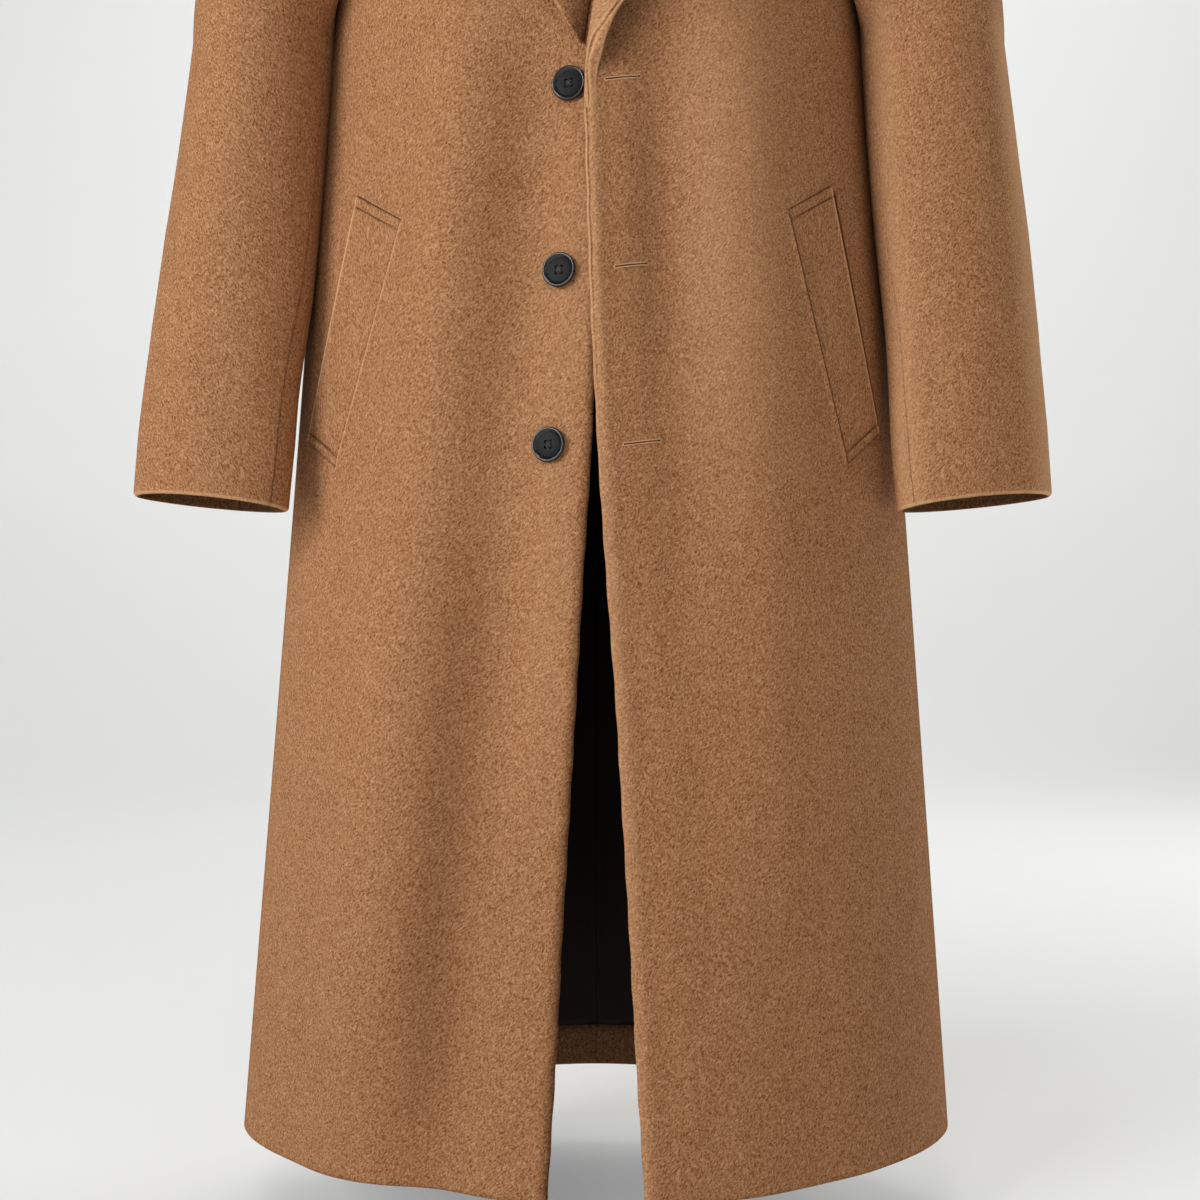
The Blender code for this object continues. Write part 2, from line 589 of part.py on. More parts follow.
def collar_rows(trees):
    """Rows of the collar on the +X side, from the centre back to its front end."""
    neck_turns = np.linspace(0, math.pi / 2, 6)
    back_base = np.stack([NECK_POINT[0] * np.sin(neck_turns), BACK_NECK[1] * np.cos(neck_turns),
                          BACK_NECK[2] * np.cos(neck_turns)], axis=1)
    chest = lower_panel(1, -1, [0.0], [UNDERARM_Z])[0]
    seam = bezier(chest[0], ROLL_LINE, NECK_POINT, np.linspace(0, 1, 200))
    seam = seam[seam[:, 2] >= GORGE_ROLL_Z][::-1]
    front_base = along(seam, np.linspace(0, 1, 6))[1:]
    base = np.concatenate([back_base, front_base])
    out = LAPEL_GAP + LAPEL_OUT
    rows = []
    for index, place in enumerate(base[:-1]):
        stand, *guess = COLLAR_STATIONS[index]
        leaf = nearest(trees, guess, out + LEAF_STAND)
        inward = unit(np.array([-place[0], -place[1], 0.0]))
        foot = place + inward * NECK_OFFSET + np.array([0, 0, STAND_LIFT])
        crown = foot + inward * 0.003 + np.array([0, 0, stand])
        radius = COLLAR_ROLL * (0.55 + 0.45 * min(stand / 0.03, 1))
        upright = [foot, lerp(foot, crown, 0.5), crown]
        over = [crown - inward * radius * (1 - math.cos(turn)) + np.array([0, 0, radius * math.sin(turn)])
                for turn in (math.pi / 3, 2 * math.pi / 3)]
        start = crown - inward * radius * 2
        fall = leaf - start
        drop = [start + fall * share + (np.array([0, 0, 0.006]) - inward * 0.004)
                * math.sin(math.pi * share) for share in (0.12, 0.42, 0.72)]
        rows.append(upright + over + drop + [leaf])
    gorge_start = [base[-1][0] + GORGE_IN, base[-1][2]]
    gorge = along([gorge_start, NOTCH, COLLAR_TIP], np.linspace(0, 1, len(rows[0])))
    end, end_normals = [], []
    for x, z in gorge:
        place, normal = seen_from_front(trees[0], x + GORGE_GAP[0], z + GORGE_GAP[1])
        end.append(place + normal * out)
        end_normals.append(normal)
    flat_rows = rows[:]
    for index in range(6, len(rows)):
        share = smooth((index - 5) / 5)
        path = along([rows[index][0], rows[index][-1]], np.linspace(0, 1, len(rows[0])))
        snapped = [nearest(trees, point, out) for point in path]
        flat_rows[index] = [lerp(np.array(point), np.array(flat), share)
                            for point, flat in zip(rows[index], snapped)]
    return np.array(flat_rows + [end]), np.array(end_normals)


def make_collar(trees):
    half, end_normals = collar_rows(trees)
    whole = np.concatenate([mirrored(half[:0:-1], -1), half])
    normals = grid_normals(whole, flip=False)
    normals[0] = mirrored(end_normals, -1)
    normals[-1] = end_normals
    wall("collar", whole, whole - normals * COLLAR_CLOTH)


def make_welt(side, word, tree):
    upper_side, upper_front, lower_side, lower_front = np.array(WELT_CORNERS[side])
    outer, inner = [], []
    for down in np.linspace(0, 1, 8):
        row_outer, row_inner = [], []
        for across in np.linspace(0, 1, 4):
            x, z = lerp(lerp(upper_side, upper_front, across), lerp(lower_side, lower_front, across), down)
            place, normal = seen_from_front(tree, side * x, z)
            row_inner.append(place + normal * LAID_GAP)
            row_outer.append(place + normal * (LAID_GAP + WELT_OUT))
        outer.append(row_outer)
        inner.append(row_inner)
    wall(f"pocket_welt_{word}", np.array(outer), np.array(inner))


# ---------------------------------------------------------------- buttons
def button_profile():
    """Half section of a button from the back's middle to the front's middle."""
    rim = BUTTON_RADIUS
    return [(0, 0), (rim * 0.62, 0), (rim * 0.93, 0.0009), (rim, 0.0022),
            (rim * 0.985, BUTTON_HEIGHT - 0.0007), (rim - BUTTON_RIM * 0.45, BUTTON_HEIGHT),
            (rim - BUTTON_RIM, BUTTON_HEIGHT - 0.0004),
            (rim - BUTTON_RIM * 1.35, BUTTON_HEIGHT - BUTTON_DISH), (0, BUTTON_HEIGHT - BUTTON_DISH)]


def make_button(name, x, z, tree):
    bm = bmesh.new()
    profile = [bm.verts.new((radius, 0, height)) for radius, height in button_profile()]
    edges = [bm.edges.new(pair) for pair in zip(profile, profile[1:])]
    bmesh.ops.spin(bm, geom=profile + edges, cent=(0, 0, 0), axis=(0, 0, 1), angle=2 * math.pi,
                   steps=24, use_merge=True)
    bmesh.ops.remove_doubles(bm, verts=bm.verts[:], dist=0.00001)
    button = finish(bm, name, BLACK_RESIN, 0.35)
    cutters = bmesh.new()
    for turn in range(4):
        angle = math.pi / 4 + turn * math.pi / 2
        place = Matrix.Translation((BUTTON_HOLE_OFF * math.cos(angle),
                                    BUTTON_HOLE_OFF * math.sin(angle), BUTTON_HEIGHT / 2))
        bmesh.ops.create_cone(cutters, cap_ends=True, segments=8, radius1=BUTTON_HOLE,
                              radius2=BUTTON_HOLE, depth=BUTTON_HEIGHT * 2, matrix=place)
    cutter = finish(cutters, f"{name}_holes", BLACK_RESIN, 0.35)
    cutter.hide_render = True
    cutter.display_type = "WIRE"
    holes = button.modifiers.new("holes", "BOOLEAN")
    holes.object = cutter
    holes.operation = "DIFFERENCE"
    place, normal = seen_from_front(tree, x, z)
    facing = Vector(normal).to_track_quat("Z", "Y").to_matrix().to_4x4()
    stand = Matrix.Translation(Vector(place + normal * BUTTON_STAND))
    button.matrix_world = stand @ facing
    cutter.matrix_world = stand @ facing
    return button


# ---------------------------------------------------------------- the whole coat
def clear_scene():
    for thing in list(bpy.data.objects):
        bpy.data.objects.remove(thing, do_unlink=True)


def main():
    clear_scene()
    sheets = make_body()
    trees = {key: surface_tree(sheet.points) for key, sheet in sheets.items()}
    make_sleeves(sheets)
    sheets[1, -1].build("front_left")
    sheets[-1, -1].build("front_right")
    sheets[1, 1].build("back_left")
    sheets[-1, 1].build("back_right")
    make_linings(sheets)
    for side, word in ((1, "left"), (-1, "right")):
        make_lapel(side, word, trees[side, -1])
        make_welt(side, word, trees[side, -1])
    make_collar([trees[1, -1], trees[1, 1]])
    for number, (x, z) in enumerate(BUTTON_PLACES, 1):
        make_button(f"button_{number}", x, z, trees[-1, -1])


main()
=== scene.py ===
"""Looks of a long single-breasted overcoat of brushed camel wool, open below its three buttons.

Metres, +Z up, the fronts face -Y and the wearer's left is +X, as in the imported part. Each piece of
cloth is a closed shell on the coat's one body form: its outer points are worked out row by row, its
inner ones lie one thickness inside, and the rims between the two are rounded.
"""
import math

import bmesh
import bpy
import numpy as np
from bpy.props import FloatProperty, FloatVectorProperty, PointerProperty
from mathutils import Matrix, Vector
from mathutils.bvhtree import BVHTree


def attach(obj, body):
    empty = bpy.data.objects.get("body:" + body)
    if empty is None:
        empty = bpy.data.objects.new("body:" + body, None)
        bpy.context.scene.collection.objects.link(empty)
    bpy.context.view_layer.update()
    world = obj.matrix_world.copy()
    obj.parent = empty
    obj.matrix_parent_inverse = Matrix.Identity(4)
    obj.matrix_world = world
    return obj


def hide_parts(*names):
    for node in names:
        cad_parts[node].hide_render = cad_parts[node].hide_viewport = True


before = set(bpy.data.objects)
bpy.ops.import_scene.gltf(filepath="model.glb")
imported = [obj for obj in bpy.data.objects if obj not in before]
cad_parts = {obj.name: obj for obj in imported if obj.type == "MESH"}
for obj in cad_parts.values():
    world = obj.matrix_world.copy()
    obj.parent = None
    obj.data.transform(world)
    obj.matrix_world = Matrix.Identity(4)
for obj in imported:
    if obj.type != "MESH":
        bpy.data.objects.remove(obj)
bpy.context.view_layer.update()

bl_info = {
    "name": "Overcoat",
    "version": (1, 0, 0),
    "blender": (4, 5, 0),
    "location": "3D View > Sidebar > Overcoat",
    "description": "Makes the cloth, buttons and studio of a long camel overcoat",
    "category": "Object",
}

# ---------------------------------------------------------------- body form, as in the solids
SIDES = ((1, "left"), (-1, "right"))        # side of the x axis and its name
HEM_Z = -1.196
UNDERARM_Z = -0.245
BREAK_Z = -0.367            # where the lapels start to roll
TURN_UP_TOP_Z = -1.159      # top of the turned-up hem
TURN_UP = 0.0025
CUFF_TURN_UP = 0.0016
CUFF_TURN_UP_Z = -0.635
FRONT_LIFT = 0.0068         # the left front lies this far out over the right one
LIFT_WIDE, LIFT_FADE, LIFT_FADE_UP = 0.07, 0.09, 0.12
FACING_FULL, FACING_FADE, FACING_FADE_UP = 0.015, 0.03, 0.06
FACING_WIDE = 0.085         # inside, a front shows wool this far in from its edge
SEAM_ALLOWANCE = 0.004      # the sleeves pass this far under the edge of the armholes
LINING_GAP = 0.0010
LINED_FROM = TURN_UP_TOP_Z - HEM_Z + 0.001  # from this height above the hem the lining shows
TURN_UP_STEP = 0.0015       # the turned-up cloth ends over this height

# z, half width, front depth, back depth
SECTIONS = np.array([
    [-0.245, 0.2220, 0.139, 0.142],
    [-0.350, 0.2305, 0.143, 0.143],
    [-0.500, 0.2440, 0.148, 0.147],
    [-0.683, 0.2575, 0.156, 0.155],
    [-1.196, 0.2985, 0.181, 0.176],
])
WIDTH_POWER = 1.9
DEPTH_POWER = 1 / 1.6
# z, how much further the coat's left side swings out than its right
LEFT_SWING = np.array([
    [-0.245, 0.0],
    [-0.450, 0.0004],
    [-0.600, 0.0038],
    [-0.683, 0.0052],
    [-0.955, 0.0025],
    [-1.196, 0.0],
])
SIDE_SEAM_IN = 0.0034       # the side seam lies this far in from the widest point, on the front

# z, left front's edge x, right front's edge x as seen on its own side
FRONT_EDGES = np.array([
    [-0.245, 0.0085, 0.0085],
    [-0.270, 0.0035, 0.0035],
    [-0.2986, -0.0019, -0.0010],
    [-0.330, -0.0066, -0.0070],
    [-0.367, -0.0086, -0.0130],
    [-0.450, -0.0064, -0.0082],
    [-0.525, -0.0041, -0.0037],
    [-0.600, -0.0004, 0.0008],
    [-0.646, 0.0019, 0.0034],
    [-0.736, 0.0079, 0.0094],
    [-0.826, 0.0146, 0.0145],
    [-0.915, 0.0198, 0.0197],
    [-1.003, 0.0249, 0.0248],
    [-1.088, 0.0292, 0.0290],
    [-1.196, 0.0359, 0.0357],
])

# soft folds: face (-1 front, 1 back), top x, top z, bottom x, bottom z, half width,
# depth at the top, depth at the bottom (out is positive)
FOLDS = np.array([
    [-1, -0.107, -0.36, -0.208, -1.196, 0.036, 0.0090, 0.0085],
    [-1, -0.043, -0.37, -0.126, -1.196, 0.034, -0.0085, -0.0088],
    [-1, 0.050, -0.37, 0.085, -0.860, 0.034, -0.0100, -0.0030],
    [-1, 0.120, -0.37, 0.150, -0.920, 0.036, 0.0090, 0.0032],
    [-1, 0.165, -0.72, 0.205, -1.120, 0.050, 0.0025, 0.0030],
    [1, -0.060, -0.40, -0.085, -1.196, 0.040, -0.0035, -0.0050],
    [1, -0.125, -0.45, -0.165, -1.196, 0.045, 0.0040, 0.0060],
    [1, 0.070, -0.42, 0.095, -1.196, 0.045, -0.0035, -0.0055],
    [1, 0.140, -0.50, 0.180, -1.196, 0.045, 0.0035, 0.0055],
])
FOLD_FADE = 0.14            # a fold runs out over this height past its ends

# smaller creases that only the looks have, in the same columns, with how far each one wanders
CREASES = np.array([
    [-1, -0.098, -0.360, -0.162, -1.090, 0.034, 0.0070, 0.0045, 0.002],
    [-1, -0.036, -0.360, -0.092, -1.120, 0.033, -0.0035, -0.0055, 0.002],
    [-1, 0.060, -0.330, 0.060, -0.760, 0.030, -0.0066, -0.0022, 0.001],
    [-1, -0.214, -1.120, -0.220, -1.240, 0.040, -0.0030, -0.0060, 0.000],
    [-1, -0.098, -0.400, -0.120, -0.660, 0.017, -0.0009, -0.0004, 0.004],
    [-1, -0.175, -0.700, -0.196, -1.050, 0.022, 0.0010, 0.0014, 0.006],
    [-1, -0.108, -0.840, -0.098, -1.170, 0.019, -0.0006, -0.0012, 0.005],
    [-1, -0.205, -0.880, -0.235, -1.180, 0.018, -0.0008, -0.0013, 0.004],
    [-1, 0.070, -0.470, 0.082, -0.700, 0.016, -0.0007, -0.0004, 0.003],
    [-1, 0.132, -0.700, 0.150, -1.060, 0.021, 0.0009, 0.0013, 0.006],
    [-1, 0.078, -0.860, 0.092, -1.180, 0.020, -0.0007, -0.0012, 0.005],
    [-1, 0.215, -0.900, 0.240, -1.180, 0.018, -0.0007, -0.0012, 0.004],
    [1, -0.030, -0.480, -0.042, -0.900, 0.018, -0.0008, -0.0010, 0.005],
    [1, -0.165, -0.640, -0.205, -1.150, 0.022, 0.0010, 0.0016, 0.007],
    [1, 0.108, -0.560, 0.132, -1.000, 0.020, -0.0009, -0.0011, 0.005],
    [1, 0.185, -0.760, 0.212, -1.180, 0.022, 0.0009, 0.0016, 0.006],
])

# soft bands of painted shade along the fold troughs and beside the left lapel, and of painted light
# on the ridges:
# face, top x, top z, bottom x, bottom z, half width, tone
SHADE_AND_LIGHT_BANDS = np.array([
    [-1, -0.064, -0.360, -0.098, -0.750, 0.027, -0.04],
    [-1, -0.098, -0.750, -0.134, -1.160, 0.030, -0.22],
    [-1, -0.019, -0.440, -0.045, -0.900, 0.020, 0.10],
    [-1, 0.040, -0.330, 0.032, -0.700, 0.026, -0.08],
    [-1, 0.031, -0.285, 0.012, -0.345, 0.015, -0.42],
    [-1, 0.106, -0.300, 0.108, -0.640, 0.050, 0.15],
    [-1, 0.205, -0.300, 0.228, -0.640, 0.036, -0.08],
    [1, -0.070, -0.400, -0.110, -1.150, 0.030, -0.12],
    [1, 0.055, -0.420, 0.078, -1.150, 0.030, -0.12],
    [1, 0.120, -0.500, 0.160, -1.150, 0.034, 0.08],
])

# z, height of the lip by the left front's edge, depth of the dip behind it, depth of its seam
EDGE_LIP = np.array([
    [-0.300, 0.0, 0.0, 0.0],
    [-0.330, 0.0008, 0.0006, 0.0],
    [-0.352, 0.0020, 0.0012, 0.0005],
    [-0.367, 0.0024, 0.0014, 0.0013],
    [-0.500, 0.0022, 0.0013, 0.0011],
    [-0.600, 0.0014, 0.0010, 0.0002],
    [-0.700, 0.0010, 0.0006, 0.0],
    [-1.196, 0.0008, 0.0005, 0.0],
])
LIP_AT, LIP_WIDTH = 0.0075, 0.0050
DIP_AT, DIP_WIDTH = 0.0220, 0.0090
LIP_SEAM_AT, LIP_SEAM_WIDTH = 0.0029, 0.0005
LIP_SEAM_DEEPEST = 0.0013
LIP_RIGHT = 0.4             # share of the lip that the right front has
EDGE_WAVE, EDGE_WAVE_LENGTH = 0.0003, 0.041

# painted shade (below 0) and painted light (above 0) of the panels, from -1 to 1, with how far in
# from an edge or seam they reach
SEAM_SHADE, SEAM_SHADE_WIDE = 0.50, 0.0011
LIP_SEAM_SHADE, LIP_SEAM_SHADE_WIDE = 0.50, 0.0007
# painted highlight on the rim of the left front's edge
EDGE_HIGHLIGHT, EDGE_HIGHLIGHT_AT, EDGE_HIGHLIGHT_WIDE = 0.30, 0.0011, 0.0009
# painted light on the left front's rolled edge below the break
LIP_LIGHT, LIP_LIGHT_WIDE = 0.26, 0.018
UNDER_EDGE_SHADE, UNDER_EDGE_WIDE = 0.60, 0.010     # the right front's edge under the left one
# painted shade on the fronts where the sleeves shade them
BY_SLEEVE_SHADE, BY_SLEEVE_WIDE = 0.85, {1: 0.050, -1: 0.034}
# painted shade, darker towards the hem
SKIRT_SHADE = 0.09
HEM_SHADE, HEM_SHADE_HIGH = 0.22, 0.005

# ---------------------------------------------------------------- back lining
LINING_TOP = 0.02           # it ends this far below the top of the back
LINING_WIDE = 0.93          # and at this share of the back's width
LOOSE, LOOSE_APART = 0.0011, 0.061      # depth of its loose folds, and their distance
LINING_SEAM, LINING_SEAM_WIDE = 0.0007, 0.0018

# ---------------------------------------------------------------- neck, shoulder and armhole
NECK_POINT = np.array([0.085, 0.000, 0.000])
SHOULDER_POINT = np.array([0.245, 0.005, -0.045])
BACK_NECK = np.array([0.000, 0.072, 0.002])
BACK_NECK_SHARE = 0.32      # share of the back panel's top row that the neck takes
FRONT_ARMHOLE = [[0.192, -0.085, -0.262], [0.172, -0.105, -0.100]]
BACK_ARMHOLE = [[0.225, 0.075, -0.262], [0.178, 0.105, -0.110]]
ROLL_LINE = [[0.030, -0.142, -0.155], [0.064, -0.058, -0.042]]
BACK_SEAM = [[0.000, 0.150, -0.150], [0.000, 0.100, -0.060]]
CHEST_FULLNESS = 0.003
CHEST_RUN = 0.60            # share of the upper panel in which the chest's form runs out

# ---------------------------------------------------------------- sleeves
# z, outer x, inner x, centre y, half depth
SLEEVE_SECTIONS = np.array([
    [-0.290, 0.3395, 0.2265, -0.012, 0.0750],
    [-0.350, 0.3465, 0.2295, -0.019, 0.0705],
    [-0.450, 0.3580, 0.2345, -0.031, 0.0600],
    [-0.530, 0.3640, 0.2388, -0.043, 0.0510],
    [-0.550, 0.3652, 0.2395, -0.046, 0.0490],
    [-0.620, 0.3700, 0.2410, -0.058, 0.0425],
    [-0.674, 0.3715, 0.2440, -0.068, 0.0390],
])
CUFF_TILT = 0.095           # the cuff is lower towards the body: height over width
CUFF_BOW = 0.0050           # its front edge hangs this much higher
CUFF_DROP = 0.0026          # and its back edge this much lower
CUFF_ROLL = 0.0034          # its lower edge is rolled this much on the outside
SLEEVE_TURN = 0.13          # the sleeves turn their inner side forward: depth over width
SLEEVE_LEAN = 0.0025        # the sleeves swing to -X at the cuff and stand off it at the top
# how far the inner side of each sleeve stands in at the top, from which height, over what height
SLEEVE_INNER = {1: (0.0066, -0.56, 0.2), -1: (0.0052, -0.595, 0.10)}
ARMHOLE_STEPS = 20          # places round the armhole by which the sleeve's columns are counted
# place round the armhole from the underarm over the front, and the sleeve angle there
SLEEVE_ANGLES = np.array([[0, 0], [2, 37], [5, 90], [10, 180], [15, 265], [16, 285], [20, 360]])
CUFF_LINED_FROM = CUFF_TURN_UP_Z - SLEEVE_SECTIONS[-1, 0] + 0.001
FRONT_SEAM_STEP = 2
FRONT_SEAM_TOP = 18         # sleeve angle of the front seam near the armhole and at the cuff
FRONT_SEAM_LOW = 32
BACK_SEAM_STEP = 16
SLEEVE_SEAM_SHADE = {1: 0.10, -1: 0.35}
# soft creases of a sleeve: place round it, top z, bottom z, half width in places, depth
SLEEVE_CREASES = np.array([
    [5.5, -0.33, -0.60, 0.9, 0.0012],
    [7.6, -0.30, -0.52, 0.8, -0.0011],
    [9.6, -0.36, -0.66, 1.0, 0.0010],
    [3.4, -0.38, -0.62, 0.7, -0.0010],
    [12.8, -0.32, -0.60, 1.0, -0.0013],
    [18.2, -0.34, -0.58, 0.9, 0.0012],
])

# ---------------------------------------------------------------- lapels, collar, welts, buttons
LAPEL_GAP = 0.0018          # a lapel lies this far off the front
LAPEL_OUT = 0.0045          # and is this thick
LAPEL_START_Z = -0.3786     # the left lapel grows out of the front's edge from here
LAPEL_GROWS = 0.034         # and is full over this height
# z, how far in from a lapel's outer edge its seam shows where the edge rolls over near the break
LAPEL_SEAM = np.array([
    [-0.2500, 0.0022], [-0.2985, 0.0022], [-0.3078, 0.0030], [-0.3156, 0.0046],
    [-0.3234, 0.0061], [-0.3310, 0.0066], [-0.3400, 0.0070], [-0.3510, 0.0064],
    [-0.3649, 0.0056], [-0.3786, 0.0050],
])
LAPEL_STAND = 0.0085        # a lapel's outer edge stands this far off the chest
ROLL_WIDE = 0.018           # its face bends to the roll line over this width
LAPEL_LAID = 0.19           # from this height on it comes down to the chest again
# distances from a lapel's roll line and from its outer edge at which its first columns stand
ROLL_STEPS = np.array([0, 0.0003, 0.001, 0.002, 0.0035, 0.0055, 0.008])
LAPEL_EDGE_STEPS = np.array([0, 0.0003, 0.0009, 0.0018, 0.0024, 0.0030, 0.0036, 0.0042, 0.0048,
                             0.0056, 0.0066, 0.0072, 0.0078, 0.0084, 0.0094])
GORGE_ROLL_Z = -0.072
LAPEL_TIP = [0.148, -0.130]
LAPEL_OUTER = {             # x on its own side, z, from the break to the tip
    1: [[-0.0004, -0.3786], [0.0004, -0.3649], [0.0012, -0.3510], [0.0038, -0.3390],
        [0.0064, -0.3286], [0.0104, -0.3182], [0.0153, -0.3074], [0.0218, -0.2975],
        [0.0575, -0.2480], [0.1010, -0.1900], LAPEL_TIP],
    -1: [[0.0105, -0.3275], [0.0292, -0.2975], [0.0640, -0.2480], [0.1050, -0.1900], LAPEL_TIP],
}
NOTCH = [0.113, -0.108]
GORGE_GAP = [-0.0004, 0.0009]
GORGE_IN = 0.0045
COLLAR_CLOTH = 0.0032
LEAF_STAND = 0.0018         # the leaf's edge lies this far off the shoulders
COLLAR_TIP = [0.139, -0.090]
COLLAR_ROLL = 0.0055        # radius of the turn between stand and leaf
STAND_LIFT = 0.0022         # the stand starts this far above and inside the neck seam
NECK_OFFSET = 0.0030
# stand height, then a point near the panel under the leaf's edge: x, y, z
COLLAR_STATIONS = np.array([
    [0.034, 0.000, 0.096, -0.026],
    [0.034, 0.034, 0.092, -0.026],
    [0.033, 0.068, 0.080, -0.024],
    [0.031, 0.100, 0.056, -0.020],
    [0.030, 0.124, 0.028, -0.016],
    [0.028, 0.139, 0.000, -0.016],
    [0.024, 0.144, -0.028, -0.024],
    [0.019, 0.146, -0.050, -0.040],
    [0.013, 0.145, -0.068, -0.058],
    [0.007, 0.142, -0.080, -0.074],
])

# corners of a welt on each side, x then z: upper side, upper front, lower side, lower front
WELT_CORNERS = {
    -1: [[0.1912, -0.4262], [0.1513, -0.4545], [0.2363, -0.6209], [0.2091, -0.6451]],
    1: [[0.1880, -0.4189], [0.1496, -0.4468], [0.2301, -0.6156], [0.2005, -0.6437]],
}
WELT_OUT = 0.0029           # its outer side stands this far off the front
WELT_CREST = 0.0007         # and its front side, at the seam, this far
WELT_SINK = 0.0008          # its back lies this far under the front's surface
WELT_ROLL = 0.0065          # the front rolls up to the seam of the welt over this width
WELT_STITCH_IN = 0.0088     # the stitched line lies this far in from a welt's short end
# shares of the length near an end, shares of the width, and shares of the roll, of its mesh lines
WELT_END_STEPS = np.array([0, 0.002, 0.005, 0.011, 0.02, 0.036, 0.040, 0.044, 0.048, 0.056])
WELT_COLUMNS = np.concatenate([[0, 0.006, 0.02, 0.04, 0.058, 0.075, 0.095],
                               np.linspace(0.13, 0.90, 12),
                               [0.935, 0.955, 0.97, 0.983, 0.993, 1.0, 1.008, 1.018, 1.03, 1.045]])
# shares of the width of the strip outside a welt's outer edge, which carries the right welt's
# painted shadow
WELT_SHADE_COLUMNS = np.array([-2.0, -1.5, -1.0, -0.7, -0.45, -0.25, -0.1])
WELT_ROLL_COLUMNS = np.array([0.5, 0.7, 0.85, 1.0])

BUTTON_RADIUS = 0.0135
BUTTON_HEIGHT = 0.0042
BUTTON_RIM = 0.0034         # width of the polished rim
BUTTON_DISH = 0.0018        # depth of the middle below it
BUTTON_HOLE = 0.0015        # radius of a hole
BUTTON_HOLE_OFF = 0.0030    # its distance from the middle
BUTTON_STAND = 0.0004       # a button lies this far off the front
HOLE_ANGLES = [math.pi / 4 + turn * math.pi / 2 for turn in range(4)]
STRAND_RADIUS = 0.00018     # the thread through the holes
STRAND_APART = 0.00028
BUTTON_PLACES = [[-0.0197, -0.3567], [-0.0268, -0.5005], [-0.0346, -0.6337]]
# inner end x and z, outer end x and z of each buttonhole
BUTTONHOLES = [
    [0.0072, -0.3566, 0.0346, -0.3520],
    [0.0147, -0.4997, 0.0399, -0.4953],
    [0.0210, -0.6344, 0.0494, -0.6306],
]
PURL_RADIUS = 0.00050       # thread that edges a buttonhole
PURL_APART = 0.00100
EYELET = 0.0013             # radius of the round outer end of a buttonhole

# ---------------------------------------------------------------- camera and studio
CAMERA_PLACE = (0.0034, -1.33, -0.751)
CAMERA_LENS = 46.95         # mm, on a sensor 36 mm wide
FLOOR_Z = -1.262
WHITE = (1.0, 1.0, 1.0)
# name, place, the place that it lights, side of the square, watts, colour
LAMPS = [
    ("key", (-3.4, -2.8, 0.80), (0.0, 0.0, -0.62), 2.0, 139.0, WHITE),
    ("top", (-0.4, -2.2, 1.9), (0.0, 0.0, -0.50), 0.9, 16.0, WHITE),
    ("fill", (2.0, -3.2, 0.5), (0.0, 0.0, -0.70), 2.4, 11.0, (1.0, 0.92, 0.82)),
    ("rim", (2.3, 1.3, 0.2), (0.1, 0.0, -0.70), 1.6, 20.0, WHITE),
    ("wall", (0.4, 2.0, 2.9), (0.8, 4.4, 0.0), 3.0, 54.0, WHITE),
]

# ---------------------------------------------------------------- the nap
NAP_DEPTHS, NAP_MIDDLE, NAP_TIPS = 0.39, 0.65, 0.90     # heights of its three tones
INSIDE_SHADE = 0.44      # painted shade: the inner faces take the wool at this share of its brightness


def linear(hex_colour):
    """An sRGB hex colour as linear red, green and blue."""
    values = [int(hex_colour[at:at + 2], 16) / 255 for at in (1, 3, 5)]
    return tuple(v / 12.92 if v <= 0.04045 else ((v + 0.055) / 1.055) ** 2.4 for v in values)


# ---------------------------------------------------------------- sizes and colours
def measure(name, description, default, low, high):
    """A length in metres that a user may change."""
    return FloatProperty(name=name, description=description, default=default, min=low, max=high,
                         unit="LENGTH", precision=4)


def swatch(name, description, hex_colour):
    """A colour that a user may change, kept linear."""
    return FloatVectorProperty(name=name, description=description, default=linear(hex_colour),
                               subtype="COLOR", size=3, min=0, max=1)


class OvercoatSizes(bpy.types.PropertyGroup):
    """Sizes of the cloth that a user may change."""

    cloth: measure("Wool", "Thickness of the wool", 0.0028, 0.001, 0.004)
    faced_edge: measure("Faced edge", "Thickness of a front's edge with its facing",
                        0.0050, 0.003, 0.007)
    lining: measure("Lining", "Thickness of the lining", 0.0010, 0.0003, 0.002)
    row_step: measure("Row spacing", "Height of one row of a panel's mesh", 0.0075, 0.004, 0.03)
    column_step: measure("Column spacing", "Width of one column of a panel's mesh",
                         0.0055, 0.003, 0.03)
    crease: FloatProperty(name="Creases", description="How strongly the small creases show",
                          default=1.0, min=0.0, max=2.0, subtype="FACTOR")
    nap: measure("Nap", "Width of one tuft of the brushed nap", 0.0024, 0.0005, 0.006)


class OvercoatColours(bpy.types.PropertyGroup):
    """Colours of the materials."""

    wool: swatch("Wool", "Middle tone of the camel wool", "#A1724D")
    wool_light: swatch("Wool tips", "Light tips of the nap", "#C2936D")
    wool_dark: swatch("Wool depths", "Shade between the tufts", "#764221")
    # painted light: this paler colour is mixed into the wool where the tone is above 0
    wool_painted_light: swatch("Wool painted light", "Painted light on edges, ridges and lit folds", "#DBAC80")
    # painted shade: this dark colour is mixed into the wool where the tone is below 0
    wool_painted_shade: swatch("Wool painted shade", "Painted shade in seams, folds and beside the sleeves", "#3C1D0A")
    lining: swatch("Lining", "Dark brown satin of the lining", "#170D08")
    button: swatch("Buttons", "Black grey resin of the buttons", "#0F1013")
    thread: swatch("Button thread", "Thread through the buttons", "#555A53")
    purl: swatch("Buttonhole thread", "Thread that edges the buttonholes", "#CFA177")
    studio: swatch("Studio", "Paper of the floor and the wall", "#D8D9D8")


# ---------------------------------------------------------------- small helpers
def below(z, top, run):
    """0 above a height and 1 from one run below it, changing softly."""
    return smooth((top - z) / run)


def above(z, low, run):
    """0 below a height and 1 from one run above it, changing softly."""
    return smooth((z - low) / run)


